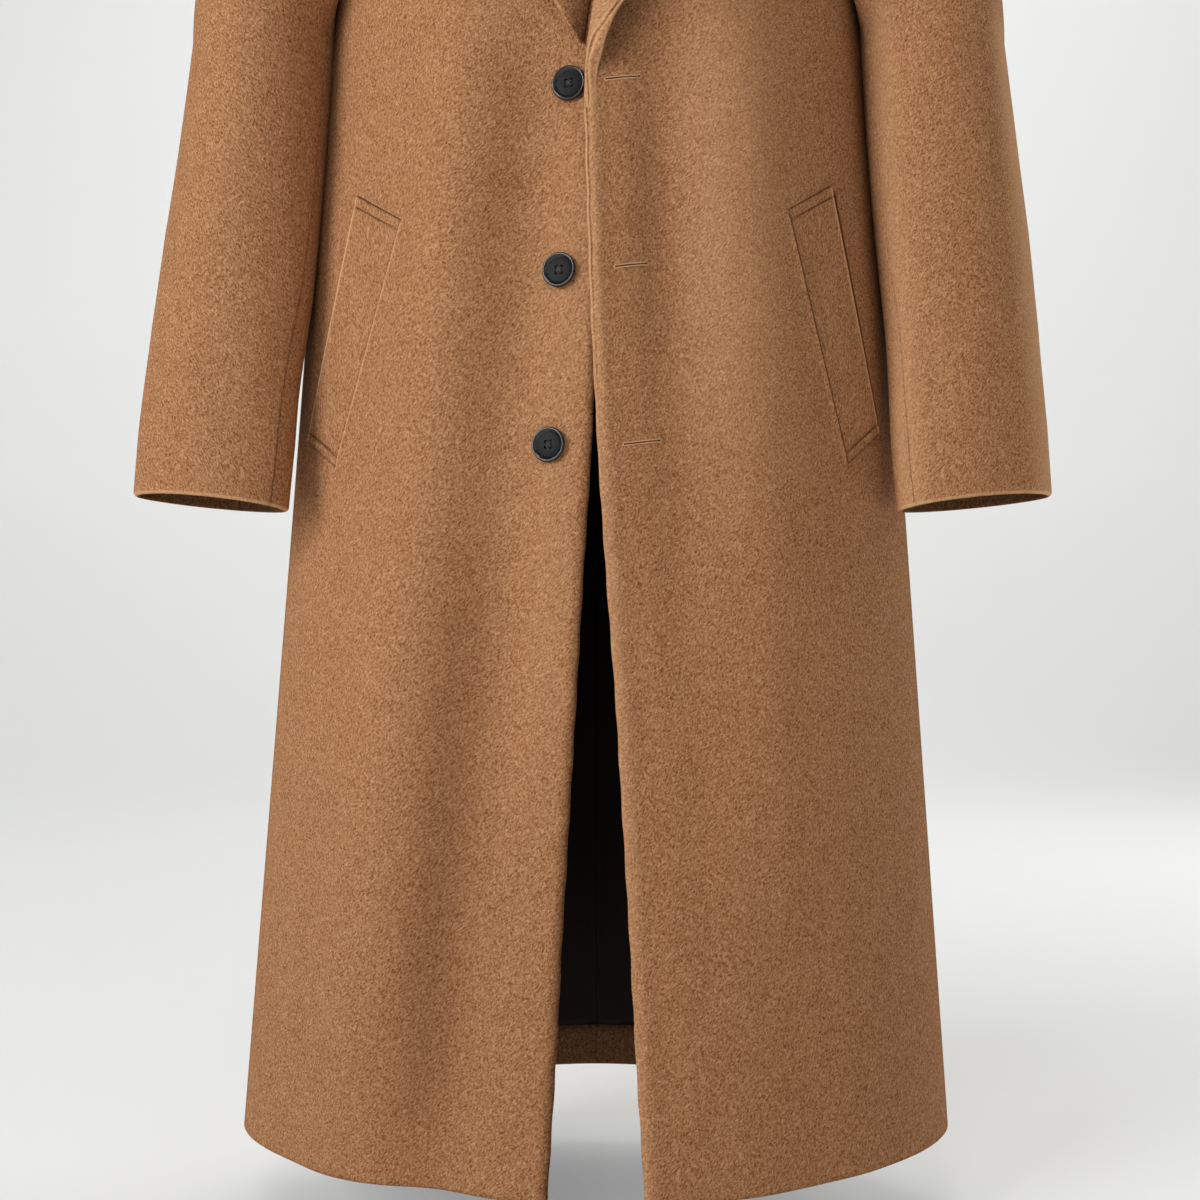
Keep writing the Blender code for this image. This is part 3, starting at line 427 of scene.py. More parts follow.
def lerp(start, end, share):
    return start + (end - start) * share


def smooth(value):
    value = np.clip(value, 0, 1)
    return value * value * (3 - 2 * value)


def unit(vectors):
    length = np.linalg.norm(vectors, axis=-1, keepdims=True)
    return vectors / np.maximum(length, 1e-12)


def bezier(start, handles, end, shares):
    """Points of one cubic curve, a row for each share."""
    first, second = np.array(handles, float)
    return cubic(start, first, second, end, np.asarray(shares, float)[:, None])


def cubic(start, first, second, end, share):
    """One point, or one row of points, of cubic curves."""
    rest = 1 - share
    return (rest ** 3 * start + 3 * rest ** 2 * share * first
            + 3 * rest * share ** 2 * second + share ** 3 * end)


def travel(points):
    """Distance along a polyline at each of its points."""
    steps = np.linalg.norm(np.diff(points, axis=0), axis=1)
    return np.concatenate([[0], np.cumsum(steps)])


def travel_across(grid):
    """Distance along each row of a grid of points."""
    return np.array([travel(row) for row in grid])


def travel_down(grid):
    """Distance down each column of a grid of points."""
    steps = np.linalg.norm(np.diff(grid, axis=0), axis=2)
    return np.concatenate([np.zeros((1, grid.shape[1])), np.cumsum(steps, axis=0)])


def along(points, shares):
    """Points at shares of the length of a polyline."""
    points = np.asarray(points, float)
    walked = travel(points)
    wanted = np.asarray(shares, float) * walked[-1]
    return np.stack([np.interp(wanted, walked, points[:, axis]) for axis in range(points.shape[1])],
                    axis=1)


def by_height(table, z, column):
    """One column of a table whose first column is the height, top row first."""
    return np.interp(-z, -table[:, 0], table[:, column])


def bump_at(distance, place, width):
    """A soft bell round one place."""
    return np.exp(-((distance - place) / width) ** 2)


def run_out(share, before, rise, past, fall):
    """Full along a fold, from share 0 to 1, and fading out before its top and past its end."""
    return smooth((share + before) / rise) * smooth((past - share) / fall)


def grid_normals(points, flip):
    """Unit normals of a grid of points, from the steps along its rows and columns."""
    down = np.gradient(points, axis=0)
    across = np.gradient(points, axis=1)
    return unit(np.cross(down, across)) * (-1 if flip else 1)


def mirrored(points, side):
    return points * np.array([side, 1, 1])


def refine(grid, parts):
    """A grid with parts steps in each of its own, on smooth curves through its points."""
    for axis in (0, 1):
        grid = np.swapaxes(grid, 0, axis)
        ends = np.concatenate([[2 * grid[0] - grid[1]], grid, [2 * grid[-1] - grid[-2]]])
        rows = []
        for index in range(len(grid) - 1):
            before, start, end, after = ends[index:index + 4]
            for share in np.arange(parts) / parts:
                rows.append(0.5 * (2 * start + (end - before) * share
                                   + (2 * before - 5 * start + 4 * end - after) * share ** 2
                                   + (3 * start - before - 3 * end + after) * share ** 3))
        rows.append(grid[-1])
        grid = np.swapaxes(np.array(rows), 0, axis)
    return grid


# ---------------------------------------------------------------- the body form
def fold_height(x, z, face):
    """How far the soft folds lift the cloth at one place of the front or the back."""
    total = np.zeros_like(x)
    for fold_face, x_top, z_top, x_low, z_low, width, top, low in FOLDS:
        if fold_face != face:
            continue
        share = np.clip((z_top - z) / (z_top - z_low), 0, 1)
        fading = smooth(1 - max(z - z_top, z_low - z, 0) / FOLD_FADE)
        away = (x - lerp(x_top, x_low, share)) / width
        total += lerp(top, low, share) * fading * np.exp(-away ** 2)
    return total


def crease_height(points, face):
    """How far the small creases lift the cloth at each point of a panel."""
    x, z = points[..., 0], points[..., 2]
    total = np.zeros_like(x)
    for number, crease in enumerate(CREASES):
        own_face, x_top, z_top, x_low, z_low, width, top, low, wander = crease
        if own_face != face:
            continue
        share = (z_top - z) / (z_top - z_low)
        fading = run_out(share, before=0.35, rise=0.5, past=1.3, fall=0.45)
        middle = lerp(x_top, x_low, share) + wander * np.sin(5.1 * share + 1.7 * number)
        uneven = 1 + 0.35 * np.sin(9.0 * share + 2.3 * number)
        total += lerp(top, low, np.clip(share, 0, 1)) * uneven * fading * bump_at(x, middle, width)
    return total


def band_shade_and_light(points, face):
    """How much painted shade or painted light each point of a panel takes, in soft bands."""
    x, z = points[..., 0], points[..., 2]
    total = np.zeros_like(x)
    for own_face, x_top, z_top, x_low, z_low, width, tone in SHADE_AND_LIGHT_BANDS:
        if own_face == face:
            share = (z_top - z) / (z_top - z_low)
            fading = run_out(share, before=0.25, rise=0.4, past=1.2, fall=0.4)
            total += tone * fading * bump_at(x, lerp(x_top, x_low, share), width)
    return total


def section(z, x_start, face, side):
    """Fine points round one body section, from x_start to the side seam."""
    half_width = by_height(SECTIONS, z, 1) + (by_height(LEFT_SWING, z, 1) if side > 0 else 0)
    depth = by_height(SECTIONS, z, 2 if face < 0 else 3)
    seam = half_width - SIDE_SEAM_IN
    angle_start = math.asin(x_start / half_width)
    angle_end = math.asin(seam / half_width) if face < 0 else math.pi / 2
    x = half_width * np.sin(np.linspace(angle_start, angle_end, 300))
    y = face * depth * np.clip(1 - np.abs(x / half_width) ** WIDTH_POWER, 0, 1) ** DEPTH_POWER
    if face > 0:
        front_depth = by_height(SECTIONS, z, 2)
        turn = half_width * np.sin(np.linspace(math.pi / 2, math.asin(seam / half_width), 16)[1:])
        past = -front_depth * (1 - (turn / half_width) ** WIDTH_POWER) ** DEPTH_POWER
        x = np.concatenate([x, turn])
        y = np.concatenate([y, past])
    tangent = np.stack([np.gradient(x), np.gradient(y)], axis=1)
    normal = unit(np.stack([tangent[:, 1], -tangent[:, 0]], axis=1)) * (-face)
    lift = fold_height(side * x, z, face) * smooth((half_width - x) / 0.03)
    return np.stack([x + normal[:, 0] * lift, y + normal[:, 1] * lift, np.full_like(x, z)], axis=1)


def front_edge(z, side):
    wave = EDGE_WAVE * math.sin(2 * math.pi * z / EDGE_WAVE_LENGTH) * (1 if z < BREAK_Z else 0)
    return float(by_height(FRONT_EDGES, z, 1 if side > 0 else 2)) + wave


def upper_row(chest, face, columns, share):
    """One row between the chest and the shoulder seam, spread between the panel's four edges."""
    low_in, low_out = chest[0], chest[-1]
    if face < 0:
        inner = bezier(low_in, ROLL_LINE, NECK_POINT, [share])
        outer = bezier(low_out, FRONT_ARMHOLE, SHOULDER_POINT, [share])
        top = lerp(NECK_POINT, SHOULDER_POINT, columns[:, None])
    else:
        inner = bezier(low_in, BACK_SEAM, BACK_NECK, [share])
        outer = bezier(low_out, BACK_ARMHOLE, SHOULDER_POINT, [share])
        neck = np.clip(columns / BACK_NECK_SHARE, 0, 1)
        seam = np.clip((columns - BACK_NECK_SHARE) / (1 - BACK_NECK_SHARE), 0, 1)
        turn = neck * math.pi / 2
        top = np.stack([NECK_POINT[0] * np.sin(turn), BACK_NECK[1] * np.cos(turn),
                        BACK_NECK[2] * np.cos(turn)], axis=1)
        top += (SHOULDER_POINT - NECK_POINT) * seam[:, None]
    rise = np.array([share, share ** 1.8, 1 - (1 - share) ** 1.6])
    out = columns[:, None]
    corners = (1 - rise) * ((1 - out) * low_in + out * low_out)
    corners += rise * ((1 - out) * top[0] + out * top[-1])
    points = (1 - rise) * chest + rise * top + (1 - out) * inner + out * outer - corners
    full = np.sin(math.pi * columns) * math.sin(math.pi * share) ** 1.5
    points[:, 1] += face * CHEST_FULLNESS * full
    half_width, depth = SECTIONS[0, 1], SECTIONS[0, 2 if face < 0 else 3]
    reach = np.clip(np.abs(points[:, 0]) / half_width, 0, 1)
    chest_y = face * depth * (1 - reach ** WIDTH_POWER) ** DEPTH_POWER
    free = np.maximum(smooth((share - 0.02) / CHEST_RUN), smooth((columns - 0.7) / 0.3))
    points[:, 1] = lerp(chest_y, points[:, 1], free)
    return points


# ---------------------------------------------------------------- panels
FREE_STEPS = np.array([0, 0.00025, 0.0008, 0.0015, 0.0020, 0.0024, 0.0029, 0.0034, 0.0038, 0.0046,
                       0.0058, 0.0074, 0.0092, 0.0115, 0.0145, 0.0180, 0.0220, 0.0270, 0.0330])
SEAM_STEPS = np.array([0, 0.0002, 0.0006, 0.0012, 0.0024, 0.0048])
HEM_STEPS = np.array([0, 0.00025, 0.0008, 0.0016, 0.0028, 0.0050, 0.0090])
SEAM_RIM = 0.0009           # a seam's rim is rounded this much
PANEL_WIDTH = 0.30          # width and upper height by which columns and rows are counted
UPPER_HEIGHT = 0.27
UPPER_REACH = 0.25          # the last rows stand at the seam steps over this, before the seam


class Panel:
    """Outer points of one front or back, with distances from its four borders."""

    def __init__(self, side, face, sizes):
        self.side, self.face = side, face
        start = FREE_STEPS if face < 0 else SEAM_STEPS
        end = SEAM_STEPS
        count = int(PANEL_WIDTH / sizes.column_step)
        turn_up = [TURN_UP_TOP_Z, TURN_UP_TOP_Z + TURN_UP_STEP]
        fixed = [HEM_Z + step for step in HEM_STEPS] + turn_up
        even = np.arange(HEM_Z + 0.015, UNDERARM_Z - sizes.row_step / 2, sizes.row_step)
        even = [z for z in even if min(abs(z - line) for line in turn_up) > 0.002]
        heights = sorted(fixed + even) + [UNDERARM_Z]
        rows, lengths = [], []
        for z in heights:
            line = section(z, front_edge(z, side) if face < 0 else 0.0, face, side)
            length = travel(line)[-1]
            rows.append(along(line, self.shares(length, start, end, count)))
            lengths.append(length)
        line = section(UNDERARM_Z, front_edge(UNDERARM_Z, side) if face < 0 else 0.0, face, side)
        coarse = np.linspace(0, 1, 40)
        steps = int(UPPER_HEIGHT / sizes.row_step)
        closing = 1 - SEAM_STEPS[:0:-1] / UPPER_REACH
        levels = np.concatenate([np.arange(1, steps) / steps, closing, [1.0]])
        self.levels = np.unique(np.round(levels, 5))
        for level in self.levels:
            length = travel(upper_row(along(line, coarse), face, coarse, level))[-1]
            shares = self.shares(length, start, end, count)
            rows.append(upper_row(along(line, shares), face, shares, level))
            lengths.append(length)
        self.base = len(heights) - 1
        points = np.array(rows)
        if face < 0 and side > 0:
            points = self.lifted(points)
        self.points = mirrored(points, side)
        self.normals = grid_normals(self.points, flip=face * side < 0)
        self.from_start = travel_across(points)
        self.from_end = self.from_start[:, -1:] - self.from_start
        self.from_hem = np.repeat(points[:, :1, 2] - HEM_Z, points.shape[1], axis=1)
        self.from_top = travel_down(points[::-1])[::-1]
        creased = crease_height(self.points, face) * sizes.crease
        self.points = self.points + self.normals * creased[..., None]
        if face < 0:
            self.points = self.points + self.normals * self.lip()[..., None]

    @staticmethod
    def shares(length, start, end, count):
        """Shares of a row: set distances at both of its ends and even steps between them."""
        middle = np.linspace(start[-1], length - end[-1], count + 2)[1:-1]
        return np.clip(np.concatenate([start, middle, length - end[::-1]]) / length, 0, 1)

    @staticmethod
    def lifted(points):
        """The left front stands out over the right one near its edge."""
        normals = grid_normals(points, flip=True)
        reach = np.linalg.norm(points - points[:, :1], axis=2)
        raised = 1 - smooth((reach - LIFT_WIDE) / LIFT_FADE)
        fade = 1 - above(points[:, :1, 2], UNDERARM_Z, LIFT_FADE_UP)
        return points + normals * (FRONT_LIFT * raised * fade)[..., None]

    def lip(self):
        """The thick turned edge of a front: a lip, the seam in it and the dip behind it."""
        z = self.points[:, :1, 2]
        own = 1.0 if self.side > 0 else LIP_RIGHT
        ridge = by_height(EDGE_LIP, z, 1) * bump_at(self.from_start, LIP_AT, LIP_WIDTH)
        dip = by_height(EDGE_LIP, z, 2) * bump_at(self.from_start, DIP_AT, DIP_WIDTH)
        seam = by_height(EDGE_LIP, z, 3) * bump_at(self.from_start, LIP_SEAM_AT, LIP_SEAM_WIDTH)
        return (ridge - dip - (seam if self.side > 0 else 0)) * own

    def thickness(self, sizes):
        """Wool, doubled by the facing at a front's edge and by the turned-up hem."""
        thick = np.full(self.points.shape[:2], sizes.cloth)
        if self.face < 0:
            faced = 1 - smooth((self.from_start - FACING_FULL) / FACING_FADE)
            upper = below(self.points[:, :1, 2], UNDERARM_Z + FACING_FADE_UP, FACING_FADE_UP)
            thick += (sizes.faced_edge - sizes.cloth) * faced * upper
        turned = 1 - smooth((self.from_hem - (TURN_UP_TOP_Z - HEM_Z)) / TURN_UP_STEP)
        return np.maximum(thick, sizes.cloth + TURN_UP * turned)

    def tone(self):
        """Painted light and shade of the outer side, from -1 to 1: painted shade in the seams, in
        the folds, beside the sleeves, under the left front's edge, on the lower skirt and along the
        hem, and painted light on the left front's edge.
        """
        z = self.points[:, :1, 2]
        tone = band_shade_and_light(self.points, self.face)
        tone -= SEAM_SHADE * bump_at(self.from_end, 0, SEAM_SHADE_WIDE)
        if self.face > 0:
            return tone - SEAM_SHADE * bump_at(self.from_start, 0, SEAM_SHADE_WIDE)
        under_break = below(z, BREAK_Z + 0.02, 0.02)
        if self.side > 0:
            # the left front's edge: painted shade in its seam, a painted highlight on its rim, and
            # painted light on the rolled edge below the break
            seam = by_height(EDGE_LIP, z, 3) / LIP_SEAM_DEEPEST
            tone -= LIP_SEAM_SHADE * seam * bump_at(self.from_start, LIP_SEAM_AT,
                                                    LIP_SEAM_SHADE_WIDE)
            tone += EDGE_HIGHLIGHT * seam * bump_at(self.from_start, EDGE_HIGHLIGHT_AT, EDGE_HIGHLIGHT_WIDE)
            tone += LIP_LIGHT * under_break * (1 - smooth(self.from_start / LIP_LIGHT_WIDE))
        else:
            # the right front's edge under the left one takes painted shade
            near_edge = 1 - smooth(self.from_start / UNDER_EDGE_WIDE)
            tone -= UNDER_EDGE_SHADE * under_break * near_edge
        # painted shade beside the sleeves, over the lower skirt and along the hem
        beside_sleeve = above(z, -0.66, 0.08) * (1 - above(z, -0.26, 0.08))
        by_seam = 1 - smooth(self.from_end / BY_SLEEVE_WIDE[self.side])
        tone -= BY_SLEEVE_SHADE * beside_sleeve * by_seam
        tone -= SKIRT_SHADE * below(z, -0.72, 0.4)
        return tone - HEM_SHADE * (1 - smooth(self.from_hem / HEM_SHADE_HIGH))

    def build(self, name, sizes, materials):
        """The panel as a closed wall with rounded rims."""
        thick = self.thickness(sizes)
        start_radius = thick / 2 if self.face < 0 else SEAM_RIM
        depth = rim_depth(self.from_start, start_radius)
        for distance, radius in ((self.from_end, SEAM_RIM), (self.from_hem, thick / 2),
                                 (self.from_top, SEAM_RIM)):
            depth = np.maximum(depth, rim_depth(distance, radius))
        depth = depth[..., None]
        outer = self.points - self.normals * depth
        inner = self.points - self.normals * (thick[..., None] - depth)
        # inside, the faces off the lining take the darker copy of the wool, as painted shade
        lined = self.from_hem > LINED_FROM
        if self.face < 0:
            lined &= self.from_start > FACING_WIDE
        uv = np.stack([self.from_start * self.side, self.from_top[:1] - self.from_top], axis=2)
        return shell(name, outer, inner, uv, materials, lined, self.tone())


def rim_depth(distance, radius):
    """How far a rounded rim has dropped at some distance from its border."""
    inward = np.clip(radius - distance, 0, radius)
    return radius - np.sqrt(np.maximum(radius ** 2 - inward ** 2, 0))


def share_seam(first, first_column, second, second_column):
    """Gives two panels one normal along their seam."""
    rows = min(len(first.normals), len(second.normals))
    if first_column == -1:
        rows = first.base + 1
    shared = unit(first.normals[:rows, first_column] + second.normals[:rows, second_column])
    first.normals[:rows, first_column] = shared
    second.normals[:rows, second_column] = shared


_body = {}


def body_panels(sizes):
    """The four panels of the body, worked out once."""
    if not _body:
        for side in (-1, 1):
            for face in (-1, 1):
                _body[side, face] = Panel(side, face, sizes)
        for side in (-1, 1):
            share_seam(_body[side, -1], -1, _body[side, 1], -1)
        share_seam(_body[-1, 1], 0, _body[1, 1], 0)
    return _body


# ---------------------------------------------------------------- making meshes
def finish_mesh(bm, name, materials):
    """A closed bmesh becomes a shaded object with outward faces."""
    bmesh.ops.recalc_face_normals(bm, faces=bm.faces[:])
    if bm.calc_volume(signed=True) < 0:
        bmesh.ops.reverse_faces(bm, faces=bm.faces[:])
    mesh = bpy.data.meshes.new(name)
    bm.to_mesh(mesh)
    bm.free()
    mesh.shade_smooth()
    for material in materials:
        mesh.materials.append(material)
    thing = bpy.data.objects.new(name, mesh)
    bpy.context.scene.collection.objects.link(thing)
    return thing


def shell(name, outer, inner, uv, materials, lined=None, tone=None):
    """A closed wall of cloth between two grids of points, with uv in metres on both.

    The inner side takes the second material where lined says so, and the third, a darker copy of the
    wool that is painted shade, elsewhere. The tone of the outer side, from -1 to 1, paints shade
    into its wool below 0 and light above 0."""
    rows, columns = outer.shape[:2]
    bm = bmesh.new()
    bmesh.ops.create_grid(bm, x_segments=columns - 1, y_segments=rows - 1, size=1)
    count = len(bm.verts)
    bmesh.ops.extrude_face_region(bm, geom=bm.faces[:], use_keep_orig=True)
    bm.verts.index_update()
    layer = bm.loops.layers.uv.new("cloth")
    shade = bm.verts.layers.float.new("tone")
    places = {}
    for vert in bm.verts:
        column = round((vert.co.x + 1) / 2 * (columns - 1))
        row = round((vert.co.y + 1) / 2 * (rows - 1))
        places[vert.index] = (row, column)
        vert.co = (outer if vert.index < count else inner)[row, column]
        if tone is not None and vert.index < count:
            vert[shade] = float(np.clip(tone[row, column], -1, 1))
    for face in bm.faces:
        for loop in face.loops:
            loop[layer].uv = uv[places[loop.vert.index]]
        if lined is not None and all(vert.index >= count for vert in face.verts):
            face.material_index = 1 if all(lined[places[vert.index]] for vert in face.verts) else 2
    bmesh.ops.remove_doubles(bm, verts=bm.verts[:], dist=0.000005)
    return finish_mesh(bm, name, materials)


def take_in(bm, other):
    """Moves the faces of another bmesh into this one."""
    mesh = bpy.data.meshes.new("taken_in")
    other.to_mesh(mesh)
    other.free()
    bm.from_mesh(mesh)
    bpy.data.meshes.remove(mesh)


def thread_tube(bm, path, radius, closed, sides=8):
    """Adds a round thread along a path to a bmesh."""
    path = np.asarray(path, float)
    count = len(path)
    ahead = np.roll(path, -1, axis=0) - np.roll(path, 1, axis=0)
    if not closed:
        ahead[0] = path[1] - path[0]
        ahead[-1] = path[-1] - path[-2]
    ahead = unit(ahead)
    across = unit(np.cross(ahead, np.array([0.1, -1.0, 0.05])))
    over = np.cross(across, ahead)
    parts = count if closed else count - 1
    made = bmesh.ops.create_grid(bm, x_segments=parts, y_segments=sides, size=1)
    for vert in made["verts"]:
        step = round((vert.co.x + 1) / 2 * parts) % count
        turn = 2 * math.pi * (round((vert.co.y + 1) / 2 * sides) % sides) / sides
        out = across[step] * math.cos(turn) + over[step] * math.sin(turn)
        vert.co = path[step] + radius * out
    bmesh.ops.remove_doubles(bm, verts=made["verts"], dist=0.000005)
    if not closed:
        loose = [edge for edge in bm.edges if edge.is_boundary]
        bmesh.ops.holes_fill(bm, edges=loose, sides=0)


def surface_tree(points):
    """The facets of a grid of points, to find places on them."""
    rows, columns = points.shape[:2]
    corners = [Vector(point) for point in points.reshape(-1, 3)]
    starts = [row * columns + column for row in range(rows - 1) for column in range(columns - 1)]
    quads = [(at, at + 1, at + columns + 1, at + columns) for at in starts]
    return BVHTree.FromPolygons(corners, quads)


def seen_from_front(tree, x, z):
    """The place and outward normal of a panel behind one point, straight from the front."""
    place, normal, _, _ = tree.ray_cast(Vector((x, -1, z)), Vector((0, 1, 0)))
    if place is None:
        place, normal, _, _ = tree.find_nearest(Vector((x, -0.14, z)))
    normal = np.array(normal)
    return np.array(place), normal * (-1 if normal[1] > 0 else 1)


def dressed(piece, node_name):
    """A finished piece stands for its solid and moves with the one body."""
    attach(piece, "root")
    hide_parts(node_name)
    return piece


# ---------------------------------------------------------------- materials
def fill(tree, node, inputs):
    """Fills a node's inputs with values or links."""
    for key, value in inputs.items():
        if isinstance(value, bpy.types.NodeSocket):
            tree.links.new(value, node.inputs[key])
        else:
            node.inputs[key].default_value = value


def add_node(tree, kind, inputs, **settings):
    """Adds one node, sets its properties, and fills its inputs with values or links."""
    node = tree.nodes.new(kind)
    for name, value in settings.items():
        setattr(node, name, value)
    fill(tree, node, inputs)
    return node


def reckon(tree, operation, *values, clamp=False):
    """The result of one operation on values or links."""
    return add_node(tree, "ShaderNodeMath", dict(enumerate(values)), operation=operation,
                    use_clamp=clamp).outputs[0]


def noise(tree, place, grain, detail, **others):
    """Noise with grains of about one size, in metres."""
    return add_node(tree, "ShaderNodeTexNoise",
                    {"Vector": place, "Scale": 1 / grain, "Detail": detail, **others})


def tint(colour, share=1.0):
    """A share of a linear colour, with its alpha."""
    return (*[min(value * share, 1) for value in colour], 1)


def blend(tree, value, dark, light):
    """A ramp from a dark to a light colour, by a value from 0 to 1."""
    ramp = add_node(tree, "ShaderNodeValToRGB", {"Fac": value})
    ramp.color_ramp.elements[0].color = dark
    ramp.color_ramp.elements[1].color = light
    return ramp


def relief(tree, height, strength, depth):
    """The normal of a surface with a low relief of its own."""
    return add_node(tree, "ShaderNodeBump", {"Height": height, "Strength": strength,
                                             "Distance": depth}).outputs["Normal"]


def made_once(make):
    """Makes a material when its name is first asked for, and finds it from then on."""
    def named(name, *values):
        material = bpy.data.materials.get(name)
        if material is None:
            material = bpy.data.materials.new(name)
            material.use_nodes = True
            tree = material.node_tree
            make(tree, tree.nodes["Principled BSDF"], *values)
        return material
    return named


@made_once
def brushed_wool(tree, shader, colours, sizes, shade):
    """Milled camel wool, brushed: short wavy tufts that lean one way, light tips over a darker
    ground, matt, with a soft glow where the surface turns away."""
    place = add_node(tree, "ShaderNodeUVMap", {}, uv_map="cloth").outputs["UV"]
    sway = noise(tree, place, sizes.nap * 2.6, 1.0).outputs["Color"]
    swing = add_node(tree, "ShaderNodeVectorMath", {0: sway, 1: (0.5, 0.5, 0.5)},
                     operation="SUBTRACT").outputs[0]
    swung = add_node(tree, "ShaderNodeVectorMath",
                     {0: swing, 1: (sizes.nap * 1.5,) * 3, 2: place},
                     operation="MULTIPLY_ADD").outputs[0]
    lean = add_node(tree, "ShaderNodeMapping",
                    {"Vector": swung, "Rotation": (0, 0, math.radians(-38)),
                     "Scale": (1.0, 2.2, 1.0)}, vector_type="TEXTURE").outputs[0]
    tufts = noise(tree, lean, sizes.nap * 0.45, 1.0, Roughness=0.5, Distortion=0.35).outputs["Fac"]
    curls = noise(tree, lean, sizes.nap * 0.95, 1.0, Distortion=1.1).outputs["Fac"]
    far = reckon(tree, "ABSOLUTE", reckon(tree, "SUBTRACT", curls, 0.5))
    worms = add_node(tree, "ShaderNodeMapRange",
                     {"Value": far, 1: 0.0, 2: 0.08, 3: 1.0, 4: 0.0}).outputs[0]
    fibres = noise(tree, lean, sizes.nap * 0.3, 2.0).outputs["Fac"]
    mottle = noise(tree, place, 0.03, 3.0).outputs["Fac"]
    height = reckon(tree, "MULTIPLY_ADD", worms, 0.18, tufts)
    height = reckon(tree, "MULTIPLY_ADD", fibres, 0.16, height)
    toned = reckon(tree, "MULTIPLY_ADD", mottle, 0.08, height)
    ramp = blend(tree, toned, tint(colours.wool_dark, shade), tint(colours.wool_light, shade))
    stops = ramp.color_ramp.elements
    stops[0].position, stops[1].position = NAP_DEPTHS, NAP_TIPS
    stops.new(NAP_MIDDLE).color = tint(colours.wool, shade)
    # the tone attribute paints light into the wool's colour above 0 and shade below 0
    tone = add_node(tree, "ShaderNodeAttribute", {}, attribute_name="tone").outputs["Fac"]
    painted_light = reckon(tree, "MAXIMUM", tone, 0.0)
    shaded = reckon(tree, "MULTIPLY", tone, -1.0, clamp=True)
    paler = add_node(tree, "ShaderNodeMix",
                     {0: painted_light, 6: ramp.outputs["Color"], 7: tint(colours.wool_painted_light, shade)},
                     data_type="RGBA").outputs[2]
    deeper = add_node(tree, "ShaderNodeMix",
                      {0: shaded, 6: paler, 7: tint(colours.wool_painted_shade, shade)},
                      data_type="RGBA").outputs[2]
    fill(tree, shader, {"Base Color": deeper, "Normal": relief(tree, height, 0.65, 0.0014),
                        "Roughness": 0.95, "Specular IOR Level": 0.07, "Sheen Weight": 0.11,
                        "Sheen Roughness": 0.45, "Sheen Tint": tint(linear("#DDA878"))})


@made_once
def satin_lining(tree, shader, colours):
    """Woven satin lining: dark brown, smooth, with a soft stretched gloss along its threads."""
    place = add_node(tree, "ShaderNodeUVMap", {}, uv_map="cloth").outputs["UV"]
    twill = add_node(tree, "ShaderNodeMapping",
                     {"Vector": place, "Rotation": (0, 0, math.radians(62)),
                      "Scale": (1.0, 0.08, 1.0)}).outputs[0]
    threads = noise(tree, twill, 0.0007, 2.0).outputs["Fac"]
    rumple = noise(tree, place, 0.05, 2.0).outputs["Fac"]
    height = reckon(tree, "MULTIPLY_ADD", threads, 0.10, rumple)
    ramp = blend(tree, threads, tint(colours.lining, 0.75), tint(colours.lining, 1.25))
    fill(tree, shader, {"Base Color": ramp.outputs["Color"],
                        "Normal": relief(tree, height, 0.4, 0.0012),
                        "Roughness": 0.48, "Specular IOR Level": 0.12})


@made_once
def cast_resin(tree, shader, colours, roughness, gloss):
    """Cast polyester resin: black grey, polished on the rim and brushed matt in the middle."""
    place = add_node(tree, "ShaderNodeTexCoord", {}).outputs["Object"]
    grain = noise(tree, place, 0.0012, 3.0).outputs["Fac"]
    ramp = blend(tree, grain, tint(colours.button, 0.8), tint(colours.button, 1.3))
    rough = add_node(tree, "ShaderNodeMapRange",
                     {"Value": grain, 3: roughness * 0.85, 4: roughness * 1.2}).outputs[0]
    fill(tree, shader, {"Base Color": ramp.outputs["Color"], "Roughness": rough,
                        "Normal": relief(tree, grain, 0.03, 0.0002),
                        "IOR": 1.56, "Specular IOR Level": gloss})


@made_once
def spun_thread(tree, shader, colour):
    """Twisted sewing thread: matt, with fine slanted strands."""
    place = add_node(tree, "ShaderNodeTexCoord", {}).outputs["Object"]
    turned = add_node(tree, "ShaderNodeMapping",
                      {"Vector": place, "Rotation": (0.4, 0.6, 0.9)}).outputs[0]
    strands = add_node(tree, "ShaderNodeTexWave",
                       {"Vector": turned, "Scale": 1 / 0.002, "Distortion": 1.5,
                        "Detail": 1.0}).outputs["Fac"]
    ramp = blend(tree, strands, tint(colour, 0.6), tint(colour, 1.3))
    fill(tree, shader, {"Base Color": ramp.outputs["Color"],
                        "Normal": relief(tree, strands, 0.5, 0.0002), "Roughness": 0.8})


@made_once
def studio_paper(tree, shader, colours):
    """Seamless background paper: matt, pale grey, with a barely seen tooth, and a glow of its own
    that is painted light, a little brighter with height."""
    place = add_node(tree, "ShaderNodeTexCoord", {}).outputs["Object"]
    tooth = noise(tree, place, 0.25, 3.0).outputs["Fac"]
    ramp = blend(tree, tooth, tint(colours.studio, 0.985), tint(colours.studio))
    height = add_node(tree, "ShaderNodeSeparateXYZ", {"Vector": place}).outputs["Z"]
    # painted light: the paper glows by itself, more with height, and so lightens the coat's shadow
    # on the floor
    glow = add_node(tree, "ShaderNodeMapRange",
                    {"Value": height, 1: FLOOR_Z, 2: FLOOR_Z + 1.0, 3: 0.235, 4: 0.30}).outputs[0]
    fill(tree, shader, {"Base Color": ramp.outputs["Color"], "Roughness": 0.9,
                        "Specular IOR Level": 0.1, "Emission Color": tint(linear("#F4F6F6")),
                        "Emission Strength": glow})


